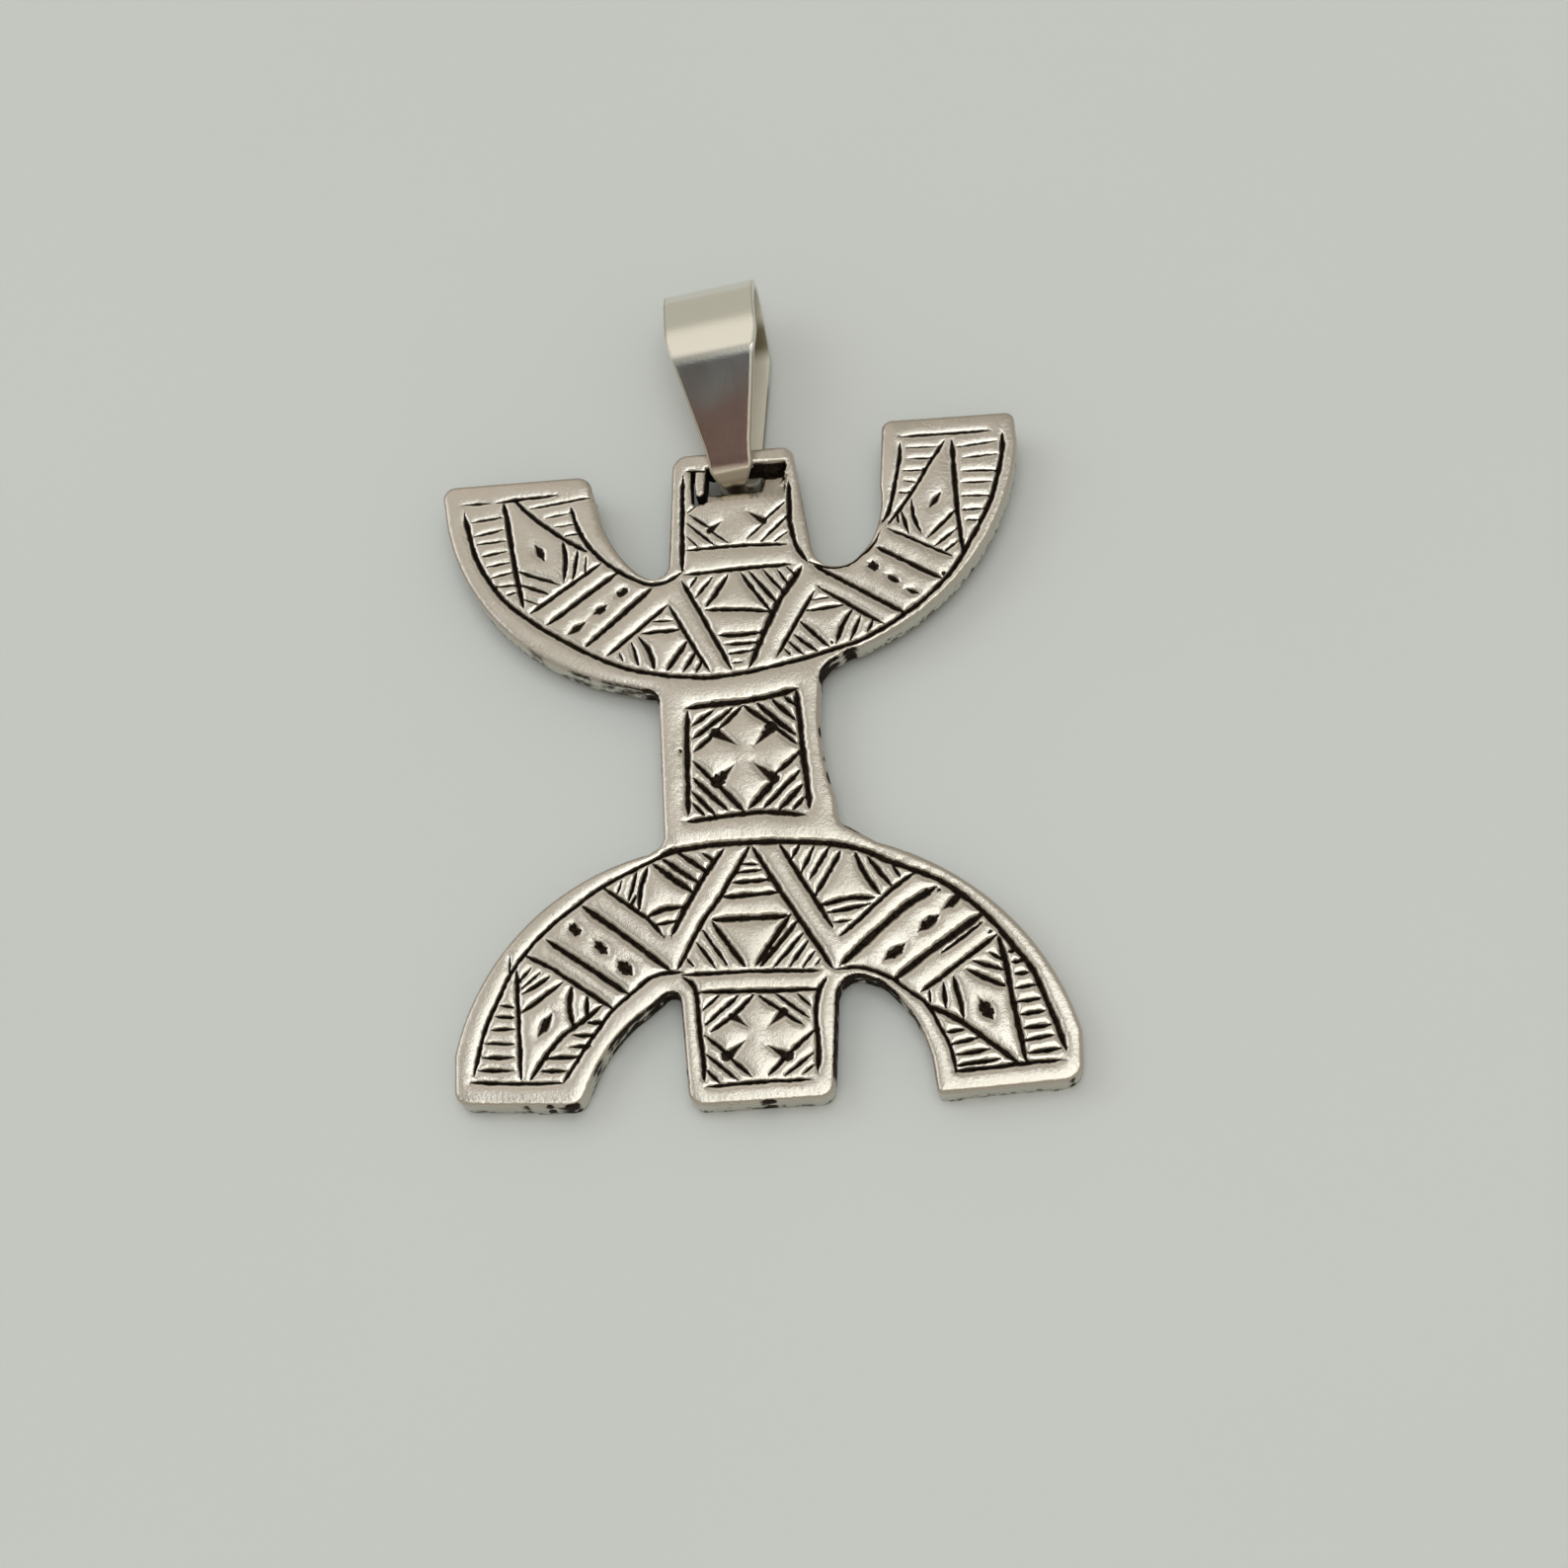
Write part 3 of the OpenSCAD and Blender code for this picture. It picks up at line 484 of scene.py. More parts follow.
# Rough, blackened places along the side wall. Columns: x, y, radius, depth, how black
ROUGH_WALLS = [
    (6.20, 6.02, 0.30, 0.12, 1.0),
    (5.00, 5.40, 0.45, 0.12, 1.0),
    (4.55, 4.75, 0.42, 0.10, 1.0),
    (-5.10, 4.40, 0.60, 0.10, 0.8),
    (-6.80, 4.90, 1.40, 0.04, 0.35),
    (-4.75, -13.60, 0.55, 0.16, 1.0),
    (-5.60, -14.00, 0.55, 0.10, 0.7),
    (-7.00, -15.00, 0.90, 0.05, 0.5),
    (5.50, -13.40, 0.80, 0.12, 1.0),
    (7.10, -14.10, 0.80, 0.10, 0.9),
    (8.40, -15.90, 0.70, 0.06, 0.4),
    (-10.30, -19.50, 0.30, 0.05, 1.0),
    (-11.50, -19.50, 0.18, 0.03, 1.0),
    (-12.90, -19.40, 0.14, 0.02, 0.8),
    (0.40, -20.05, 0.30, 0.03, 0.8),
    (-4.20, -18.00, 0.22, 0.04, 0.9),
    (-5.00, -0.40, 0.16, 0.05, 0.6),
    (4.75, -1.60, 0.30, 0.06, 0.8),
    (4.30, 1.20, 0.25, 0.05, 0.6),
    (5.60, -4.90, 0.40, 0.06, 0.6),
    (16.70, -20.20, 0.20, 0.03, 0.7),
    (4.40, -14.60, 0.60, 0.02, 1.0),
    (4.25, -15.60, 0.70, 0.01, 0.9),
    (4.10, -16.80, 0.70, 0.01, 1.0),
    (4.00, -18.10, 0.70, 0.01, 0.9),
    (-7.90, -16.00, 0.50, 0.02, 0.5),
    (-8.80, -17.40, 0.50, 0.02, 0.4),
    (-9.30, 6.05, 0.60, 0.02, 0.35),
    (-11.90, 7.55, 0.50, 0.02, 0.3),
]


# Shapes in the plane of the plate, in mm

def along_arc(row, step):
    """Points along one arc of the outline."""
    x, y, radius, first, last = row
    count = max(3, math.ceil(abs(math.radians(last - first)) * radius / step))
    angles = np.radians(np.linspace(first, last, count + 1))
    return np.column_stack([x + radius * np.cos(angles), y + radius * np.sin(angles)])


def closed_line(points, step):
    """A closed line with no two points further apart than step, and none doubled."""
    points = np.asarray(points, float)
    gaps = np.linalg.norm(np.roll(points, -1, 0) - points, axis=1)
    points = points[gaps > 0.02]
    made = []
    for a, b in zip(points, np.roll(points, -1, 0)):
        count = max(1, math.ceil(np.linalg.norm(b - a) / step))
        made.extend(a + (b - a) * i / count for i in range(count))
    return np.array(made)


def smooth_line(bends, step):
    """An open smooth line through its bends."""
    bends = np.asarray(bends, float).reshape(-1, 2)
    padded = np.vstack([2 * bends[0] - bends[1], bends, 2 * bends[-1] - bends[-2]])
    made = [bends[0]]
    for before, a, b, after in zip(padded, padded[1:], padded[2:], padded[3:]):
        count = max(1, round(np.linalg.norm(b - a) / step))
        for t in np.arange(1, count + 1) / count:
            bend_in, bend_out = (b - before) / 2, (after - a) / 2
            made.append((2 * t**3 - 3 * t**2 + 1) * a + (t**3 - 2 * t**2 + t) * bend_in
                        + (3 * t**2 - 2 * t**3) * b + (t**3 - t**2) * bend_out)
    return np.array(made)


def sideways(line):
    """The unit direction to the left of an open line at each of its points."""
    way = np.gradient(line, axis=0)
    way /= np.linalg.norm(way, axis=1, keepdims=True)
    return np.column_stack([-way[:, 1], way[:, 0]])


def wander(points, size, seed):
    """Smooth noise from -1 to 1 at each point, with bumps of about the given size."""
    return np.array([noise.noise(Vector((x / size, y / size, seed))) for x, y in points])


def inside(points, loop):
    """Whether each point lies inside a closed line."""
    found = np.zeros(len(points), bool)
    x, y = points[:, 0], points[:, 1]
    for (ax, ay), (bx, by) in zip(loop, np.roll(loop, -1, 0)):
        if ay != by:
            crosses = (ay > y) != (by > y)
            found ^= crosses & (x < (bx - ax) * (y - ay) / (by - ay) + ax)
    return found


def nearest_on(line, points):
    """For each point, its distance to every piece of a line and how far along that piece it is."""
    a, way = line[:-1], np.diff(line, axis=0)
    reach = points[:, None, :] - a
    along = np.clip((reach * way).sum(2) / np.maximum((way**2).sum(1), 1e-12), 0, 1)
    return np.linalg.norm(reach - along[:, :, None] * way, axis=2), along


# How each kind of mark is struck: the distance between its points, how ragged its edges are, and
# its depth as a share of its width
STROKES = {"cut": (0.20, 0.20, 1.0), "fang": (0.13, 0.08, 0.45), "punch": (0.16, 0.0, 0.6)}
DEEPEST = 0.30
THINNEST_HALF = 0.012


class Cut:
    """One engraved cut: a V with pointed ends, its edges ragged as a graver leaves them."""

    def __init__(self, row, seed, kind="cut", broad=1.0):
        width, bends = row[0] * broad, row[1:]
        step, raggedness, steepness = STROKES[kind]
        line = smooth_line(bends, step)
        lengths = np.concatenate([[0], np.cumsum(np.linalg.norm(np.diff(line, axis=0), axis=1))])
        whole = lengths[-1]
        near_end = np.minimum(lengths, whole - lengths)
        if kind == "fang":
            share = np.clip((whole - lengths) / whole, 0, 1) * np.clip(lengths / 0.15, 0.45, 1)
        elif kind == "punch":
            share = np.clip(near_end / (0.5 * whole), 0, 1) ** 0.85
        else:
            share = np.sin(np.clip(near_end / min(0.5 * whole, 0.8), 0, 1) * math.pi / 2) ** 0.6
        self.side = sideways(line)
        jolt = np.random.default_rng(int(seed * 10)).uniform(-1, 1, (2, len(line)))
        drift = (0.03 * wander(line, 0.9, seed) + 0.016 * jolt[0]) * np.clip(share, 0, 1)
        self.line = line + self.side * drift[:, None]
        ragged = 1 + raggedness * jolt[1] + 0.16 * wander(line, 1.3, seed + 80.5)
        scale = {"cut": 0.025 + 1.02 * width, "fang": width, "punch": 1.4 * width}[kind]
        self.half = np.maximum(scale / 2 * share * ragged, THINNEST_HALF)
        self.depth = np.minimum(self.half * 2 * steepness, DEEPEST)

    def edge(self, away):
        """The line this far outside the cut's left edge, or outside its right one where negative."""
        return self.line + self.side * (np.sign(away) * (self.half + abs(away)))[:, None]


# Tables of cuts, and how much broader the cuts of each were struck than their rows say
CUT_TABLES = [
    (BORDER_CUTS, 1.05),
    (LEFT_ARM_CUTS, 1.0),
    (PRONG_CUTS, 0.95),
    (MIDDLE_CUTS, 1.0),
    (RIGHT_ARM_CUTS, 0.88),
    (NECK_CUTS, 1.22),
    (LEFT_LEG_CUTS, 1.18),
    (MIDDLE_LEG_CUTS, 1.15),
    (RIGHT_LEG_CUTS, 1.30),
]
CUTS = []
for table, broad in CUT_TABLES:
    CUTS += [Cut(row, 7.3 * len(CUTS) + 0.37 * i, broad=broad) for i, row in enumerate(table)]
CUTS += [Cut(row, 300.5 + 1.7 * i, "punch", 1.1) for i, row in enumerate(PUNCHES)]
CUTS += [Cut(row, 400.5 + 1.7 * i, "fang") for i, row in enumerate(FANGS)]


def distance_to_loop(points, loop):
    """The distance of each point to a closed line, or FAR where it is further than that."""
    closed = np.vstack([loop, loop[:1]])
    least = np.full(len(points), FAR)
    for start in range(0, len(loop), 12):
        piece = closed[start : start + 13]
        near = ((points > piece.min(0) - FAR) & (points < piece.max(0) + FAR)).all(1).nonzero()[0]
        if len(near):
            away, _ = nearest_on(piece, points[near])
            least[near] = np.minimum(least[near], away.min(1))
    return least


def engraved(points):
    """The depth of the cuts at each point, and its distance from the nearest cut's edge."""
    depth = np.zeros(len(points))
    away = np.full(len(points), 2.0)
    for cut in CUTS:
        low, high = cut.line.min(0) - 0.9, cut.line.max(0) + 0.9
        near = ((points > low) & (points < high)).all(1).nonzero()[0]
        if not len(near):
            continue
        gap, along = nearest_on(cut.line, points[near])
        half = cut.half[:-1] + along * np.diff(cut.half)
        deep = cut.depth[:-1] + along * np.diff(cut.depth)
        fall = (deep * np.clip(1 - gap / half, 0, 1)).max(1)
        depth[near] = np.maximum(depth[near], fall)
        # A cut's thin ends pull the surface down less than its full width does.
        outside = gap - half + 0.25 * np.clip(0.10 - half, 0, 0.1)
        away[near] = np.minimum(away[near], outside.min(1))
    return depth, away


def bowl(points, x, y, radius):
    """A soft round bowl at each point: 1 in its middle, and less further out."""
    return np.exp(-(((points - (x, y)) ** 2).sum(1)) / radius**2)


def pitted(points):
    """The depth of the small pits at each point, and how black they make it."""
    depth, black = np.zeros(len(points)), np.zeros(len(points))
    for x, y, radius, deep in PITS:
        share = bowl(points, x, y, radius)
        depth += deep * share
        black = np.maximum(black, np.clip(share * 1.6 - 0.3, 0, 1))
    return depth, black


def rough(points):
    """How far the side wall is eaten in near its rough places, and how black it is there."""
    eaten, black = np.zeros(len(points)), np.zeros(len(points))
    for x, y, radius, deep, dark in ROUGH_WALLS:
        share = bowl(points, x, y, radius)
        eaten = np.maximum(eaten, deep * share)
        black = np.maximum(black, dark * np.clip(share * 1.8, 0, 1))
    return eaten, black


OUTLINE = closed_line(np.vstack([along_arc(row, 0.25) for row in OUTLINE_ARCS]), 0.27)
SLOT = closed_line(SLOT_CORNERS, 0.15)


def face_height(points):
    """The height of the face above the back, how black it is, and how far it is from a cut."""
    rim = distance_to_loop(points, OUTLINE)
    hole = distance_to_loop(points, SLOT)
    x, y = points[:, 0], points[:, 1]
    on_bar = (y > UNDER_BAR_Y) & (np.abs(x) < 3.2)
    radius = np.where(on_bar, BAR_R, np.where(hole < NEAR_SLOT, SLOT_R, RIM_R))
    near = np.minimum(rim, np.where(hole < NEAR_SLOT, hole, FAR))
    round_off = radius - np.sqrt(np.maximum(radius**2 - np.clip(radius - near, 0, None) ** 2, 0))
    shoulder = 0.06 * np.exp(-((rim / 0.42) ** 1.5))
    depth, away = engraved(points)
    # The face falls off towards each cut, and less so on the top prong and the arms.
    fall = CLOSE_FALL[0] * np.exp(-np.clip(away, 0, None) / CLOSE_FALL[1])
    fall += BROAD_FALL[0] * np.exp(-np.clip(away, 0, 2) / BROAD_FALL[1])
    fall *= 1 - 0.45 * np.clip((y - 9) / 8, 0, 1)
    pit, pit_black = pitted(points)
    _, crusted = rough(points)
    ramp = np.clip((y - RAMP_Y[0]) / (RAMP_Y[1] - RAMP_Y[0]), 0, 1.0)
    ramp *= np.clip((x - RAMP_X[0]) / 0.12, 0, 1) * np.clip((RAMP_X[1] - x) / 0.12, 0, 1)
    ramp *= y < 18.0
    uneven = 0.020 * wander(points, 3.1, 3.5) + 0.010 * wander(points, 1.1, 9.5)
    height = PLATE_T - round_off - shoulder - depth - fall - pit - RAMP_DEPTH * ramp
    height += uneven * np.clip(near / 0.5, 0, 1) - 0.03
    black = np.maximum(np.clip(depth / 0.05, 0, 1), pit_black)
    black = np.maximum(black, crusted * np.clip(1.3 - rim / 0.14, 0, 1))
    return height, black, away


def plate_points():
    """Points and fixed edges for the face: the rims, the cuts and the flats between them."""
    points, edges = [], []

    def add_line(line, closed=False):
        first = len(points)
        points.extend(line)
        edges.extend((first + i, first + i + 1) for i in range(len(line) - 1))
        if closed:
            edges.append((len(points) - 1, first))

    add_line(OUTLINE, True)
    add_line(SLOT, True)
    for cut in CUTS:
        add_line(cut.line)
        for side in (1, -1):
            add_line(cut.edge(side * ON_EDGE)[1:-1])
    add_line(np.array([(x, RAMP_Y[0]) for x in np.linspace(RAMP_X[0], RAMP_X[1], 26)]))
    loose = [cut.edge(side * away) for cut in CUTS for away in BESIDE_CUTS for side in (1, -1)]
    for loop, insets, side in ((OUTLINE, BESIDE_RIM, 1), (SLOT, BESIDE_SLOT, -1)):
        around = np.vstack([loop[-1:], loop, loop[:1]])
        onto_face = sideways(around)[1:-1] * side
        loose.extend(loop + onto_face * inset for inset in insets)
    across, up = (np.arange(low, high, GRID) for low, high in zip(OUTLINE.min(0), OUTLINE.max(0)))
    grid = np.stack(np.meshgrid(across, up), 2)
    grid[1::2, :, 0] += GRID / 2
    grid = grid.reshape(-1, 2)
    grid += 0.08 * np.column_stack([wander(grid, 0.31, 60.5), wander(grid, 0.31, 70.5)])
    loose.append(grid)
    loose = np.vstack(loose)
    loose = loose[inside(loose, OUTLINE) & ~inside(loose, SLOT)]
    for loop in (OUTLINE, SLOT):
        loose = loose[distance_to_loop(loose, loop) > CLEAR]
    _, away = engraved(loose)
    loose = loose[away > CLEAR]
    _, kept = np.unique(np.round(loose / 0.07).astype(int), axis=0, return_index=True)
    points.extend(loose[np.sort(kept)])
    return np.array(points), edges


def new_object(bm, name, finish, place=Matrix.Identity(4)):
    """A finished piece from a bmesh in mm, put in its place."""
    bmesh.ops.transform(bm, matrix=Matrix.Scale(MM, 4) @ place, verts=bm.verts)
    mesh = bpy.data.meshes.new(name)
    bm.to_mesh(mesh)
    bm.free()
    piece = bpy.data.objects.new(name, mesh)
    bpy.context.scene.collection.objects.link(piece)
    mesh.materials.append(finish)
    return piece


# Rings of the side wall, downwards. Columns: share of the rim's height, how far in
WALL_RINGS = [
    (0.86, 0),
    (0.68, 0.01),
    (0.50, 0),
    (0.32, 0.01),
    (0.16, 0.01),
    (0.06, 0.03),
    (0, 0.08),
]


def between(value, low, high):
    """How far a value has come from one number to another, from 0 to 1."""
    return min(1.0, max(0.0, (value - low) / (high - low)))


def engraved_face(bm):
    """The face: a triangulation in the plane of the plate, with each point raised to its height."""
    points, edges = plate_points()
    corners, _, faces, _, _, _ = delaunay_2d_cdt(
        [Vector(p) for p in points], edges, [], 0, 1e-6, False)
    corners = np.array([tuple(c) for c in corners])
    faces = np.array(faces)
    middles = corners[faces].mean(1)
    faces = faces[inside(middles, OUTLINE) & ~inside(middles, SLOT)]
    height, black, away = face_height(corners)
    tarnish_and_shade, lip = (bm.verts.layers.float[name] for name in ("tarnish_and_shade", "lip"))
    verts = {}
    for i in np.unique(faces):
        vert = bm.verts.new((corners[i][0], corners[i][1], height[i]))
        vert[tarnish_and_shade] = black[i]
        vert[lip] = max(0.0, 1.0 - max(0.0, away[i]) / 0.3)
        verts[i] = vert
    for a, b, c in faces:
        bm.faces.new((verts[a], verts[b], verts[c]))
    bmesh.ops.recalc_face_normals(bm, faces=bm.faces)
    if sum(f.normal.z for f in bm.faces) < 0:
        bmesh.ops.reverse_faces(bm, faces=bm.faces)


def side_wall(bm):
    """The side wall, down from the rim in rings, each a little in or out from the outline."""
    tarnish_and_shade, lip, wall = (bm.verts.layers.float[name] for name in ("tarnish_and_shade", "lip", "wall"))
    outward = bm.verts.layers.float_vector.new("outward")
    rim_place = bm.verts.layers.float_vector.new("rim_place")
    ring = [e for e in bm.edges if e.is_boundary]
    for edge in ring:
        face_middle = edge.link_faces[0].calc_center_median()
        way = edge.verts[1].co - edge.verts[0].co
        out = Vector((way.y, -way.x, 0)).normalized()
        if out.dot(edge.verts[0].co - face_middle) < 0:
            out.negate()
        for vert in edge.verts:
            vert[outward] = Vector(vert[outward]) + out
    for v in {v for e in ring for v in e.verts}:
        v[outward] = Vector(v[outward]).normalized()
        v[rim_place] = v.co
        v[wall] = 0.6
        # Painted shade: the rim at the slot's ends is painted black, partly for tarnish and partly for
        # the shade inside the slot.
        if 1.57 < abs(v.co.x) < SLOT_SIDE and SLOT_Y[0] < v.co.y < UNDER_BAR_Y:
            v[tarnish_and_shade] = 1.0
    for share, inset in WALL_RINGS:
        made = bmesh.ops.extrude_edge_only(bm, edges=ring)["geom"]
        ring = [g for g in made if isinstance(g, bmesh.types.BMEdge)]
        fresh = [g for g in made if isinstance(g, bmesh.types.BMVert)]
        eaten, dark = rough(np.array([tuple(v[rim_place])[:2] for v in fresh]))
        for v, deep, shade in zip(fresh, eaten, dark):
            top = Vector(v[rim_place])
            grain = 0.5 + 0.5 * noise.noise(Vector((top.x / 0.5, top.y / 0.5, share / 0.15)))
            bulge = 1 - abs(share - 0.5)
            in_slot = abs(top.x) < SLOT_SIDE and SLOT_Y[0] < top.y < SLOT_Y[1]
            on_bar = in_slot and top.y > UNDER_BAR_Y and top.x > BAR_X[0]
            slim = 0.3 if in_slot and not on_bar else 1.0
            v.co = top - Vector(v[outward]) * (slim * (inset + 0.05 * grain) + deep * bulge)
            v.co.z = top.z * share
            if on_bar:
                # The bar's wall slopes towards the slot, and more so beside the strap.
                taper = (between(top.x, BAR_X[1], BAR_X[1] - 0.15)
                         * between(top.x, BAR_X[0], BAR_X[0] + 0.15))
                v.co.z += 0.10 * taper * (1 - share)
                v.co.y -= (0.26 + 0.35 * between(top.x, 1.60, 1.70)) * taper * (1 - share)
            # Painted shade: the slot's wall is painted black, partly for tarnish and partly for the
            # shade inside the slot; the well below the strap is only a little darkened.
            if not in_slot:
                v[tarnish_and_shade] = shade * between(2.4 * grain, 0.5, 1.5)
            elif abs(top.x) < WELL_SIDE and top.y < WELL_TOP_Y:
                v[tarnish_and_shade] = 0.2
            else:
                v[tarnish_and_shade] = 1.0
            v[wall] = 2.0 - share
            v[lip] = 0.0
    return ring


def engraved_plate(finish):
    """The plate: an engraved face, a side wall that is a little rough, and a plain back."""
    bm = bmesh.new()
    for name in ("tarnish_and_shade", "lip", "wall"):
        bm.verts.layers.float.new(name)
    engraved_face(bm)
    bottom = side_wall(bm)
    bmesh.ops.triangle_fill(bm, edges=bottom, use_beauty=True, normal=(0, 0, -1))
    bmesh.ops.recalc_face_normals(bm, faces=bm.faces)
    for face in bm.faces:
        face.smooth = True
    for edge in bm.edges:
        edge.smooth = edge.calc_face_angle(3.2) < math.radians(38)
    print("plate", len(bm.faces), "faces", sum(e.is_boundary for e in bm.edges), "open edges")
    return new_object(bm, "engraved_plate", finish, PLATE_PLACE)


# How far the tongue reaches past the bar, and how square its end is
TONGUE_L = 1.98
TONGUE_SQUARENESS = 3.6


def strap_half_width(x):
    """Half the strap's width at a distance from the bar: a rounded tongue that widens evenly."""
    if x < 0:
        return NARROW_W / 2 * math.sqrt(1 - abs(x / TONGUE_L) ** TONGUE_SQUARENESS)
    return np.interp(x, [0, WIDEST_AT], [NARROW_W / 2, WIDE_W / 2])


def bail_side():
    """The side view of the bail, with the bar at its origin and the wide end along +X."""
    end_r = NARROW_R + STRAP_T
    slope = math.atan((BEND_DEPTH - 2 * end_r) / BEND_START)
    tip = end_r + 0.1
    fold = -1.0
    height = end_r / math.cos(slope) + fold * math.tan(slope)
    around = np.linspace(math.pi / 2, 1.5 * math.pi, 30)
    front = around < math.pi
    end = np.column_stack([np.where(front, fold + (tip + fold) * np.cos(around), tip * np.cos(around)),
                           np.where(front, height, end_r) * np.sin(around)])
    around = np.linspace(-math.pi / 2, math.pi / 2, 44)
    bend = np.column_stack([BEND_START + BEND_L * np.cos(around),
                            BEND_DEPTH / 2 - end_r + BEND_DEPTH / 2 * np.sin(around)])
    under = end[-1] + (bend[0] - end[-1]) * (np.arange(1, 10) / 10)[:, None]
    over = bend[-1] + (end[0] - bend[-1]) * (np.arange(1, 10) / 10)[:, None]
    return np.vstack([end, under, bend, over])


EDGE_BAND = 0.2
# Lines along the strap. Columns: share of the half width, distance in from the edge
STRAP_ACROSS = [
    (-1, 0),
    (-1, EDGE_BAND),
    (-0.5, EDGE_BAND),
    (0, 0),
    (0.5, EDGE_BAND),
    (1, EDGE_BAND),
    (1, 0),
]


def strap_bail(finish):
    """The bail: one strap bent round the bar and closed, with softened edges."""
    bm = bmesh.new()
    inner = bm.verts.layers.float.new("inner")
    border = bm.verts.layers.float.new("border")
    side = bail_side()
    line = [bm.verts.new((x, 0, z)) for x, z in side]
    ring = [bm.edges.new((a, b)) for a, b in zip(line, line[1:] + line[:1])]
    for i, (share, inset) in enumerate(STRAP_ACROSS):
        if i:
            made = bmesh.ops.extrude_edge_only(bm, edges=ring)["geom"]
            ring = [g for g in made if isinstance(g, bmesh.types.BMEdge)]
        for vert in {v for edge in ring for v in edge.verts}:
            ragged = 1 + 0.006 * (noise.noise(Vector((vert.co.x / 1.3, share, 0.5))) - 1)
            vert.co.y = share * (strap_half_width(vert.co.x) * ragged - inset)
    bmesh.ops.recalc_face_normals(bm, faces=bm.faces)
    bmesh.ops.solidify(bm, geom=bm.faces[:], thickness=STRAP_T)
    bmesh.ops.recalc_face_normals(bm, faces=bm.faces)
    rims = [e for e in bm.edges if e.calc_face_angle(0) > 1.2]
    bmesh.ops.bevel(bm, geom=rims, offset=0.08, offset_type="OFFSET", segments=3, profile=0.5,
                    affect="EDGES", material=-1, clamp_overlap=True)
    bmesh.ops.recalc_face_normals(bm, faces=bm.faces)
    apart, _ = nearest_on(np.vstack([side, side[:1]]), np.array([(v.co.x, v.co.z) for v in bm.verts]))
    for v, depth in zip(bm.verts, apart.min(1)):
        v[inner] = depth / STRAP_T
        v[border] = 1 - (strap_half_width(v.co.x) - abs(v.co.y)) / EDGE_BAND
    for face in bm.faces:
        face.smooth = True
    print("bail", len(bm.faces), "faces", sum(e.is_boundary for e in bm.edges), "open edges")
    return new_object(bm, "strap_bail", finish, BAIL_PLACE)


# Finishes

class Tone:
    """A number that varies over a surface, for use in sums."""

    def __init__(self, finish, socket):
        self.finish, self.socket = finish, socket

    def sum(self, operation, *values):
        return self.finish.add("ShaderNodeMath", {"operation": operation}, dict(enumerate(values)))

    def __add__(self, other):
        return self.sum("ADD", self, other)

    def __sub__(self, other):
        return self.sum("SUBTRACT", self, other)

    def __rsub__(self, other):
        return self.sum("SUBTRACT", other, self)

    def __mul__(self, other):
        return self.sum("MULTIPLY", self, other)

    __radd__, __rmul__ = __add__, __mul__


class Finish:
    """A material or a sky, and one method that adds a node to it."""

    def __init__(self, owner):
        self.owner = owner
        owner.use_nodes = True
        self.tree = owner.node_tree
        self.tree.nodes.clear()

    def add(self, kind, settings=None, sockets=None, output=0):
        node = self.tree.nodes.new(kind)
        for name, value in (settings or {}).items():
            setattr(node, name, value)
        for name, value in (sockets or {}).items():
            if isinstance(value, Tone):
                self.tree.links.new(value.socket, node.inputs[name])
            else:
                node.inputs[name].default_value = value
        return Tone(self, node.outputs[output]) if node.outputs else None

    def grain(self, where, size_mm, detail=2.0, roughness=0.5, **more):
        """Cloudy noise with patches of about the given size."""
        sockets = {"Vector": where, "Scale": 1000.0 / size_mm, "Detail": detail, "Roughness": roughness}
        sockets.update(more)
        return self.add("ShaderNodeTexNoise", None, sockets)

    def ease(self, value, low, high, to_low=0.0, to_high=1.0):
        """A smooth step from one value to another."""
        return self.add("ShaderNodeMapRange", {"interpolation_type": "SMOOTHSTEP"},
                        {0: value, 1: low, 2: high, 3: to_low, 4: to_high})

    def blend(self, share, first, second):
        """A colour between two colours."""
        return self.add("ShaderNodeMix", {"data_type": "RGBA"}, {0: share, 6: first, 7: second}, 2)


def colour(red, green, blue):
    """An opaque colour, as the sockets take it."""
    return (red, green, blue, 1.0)


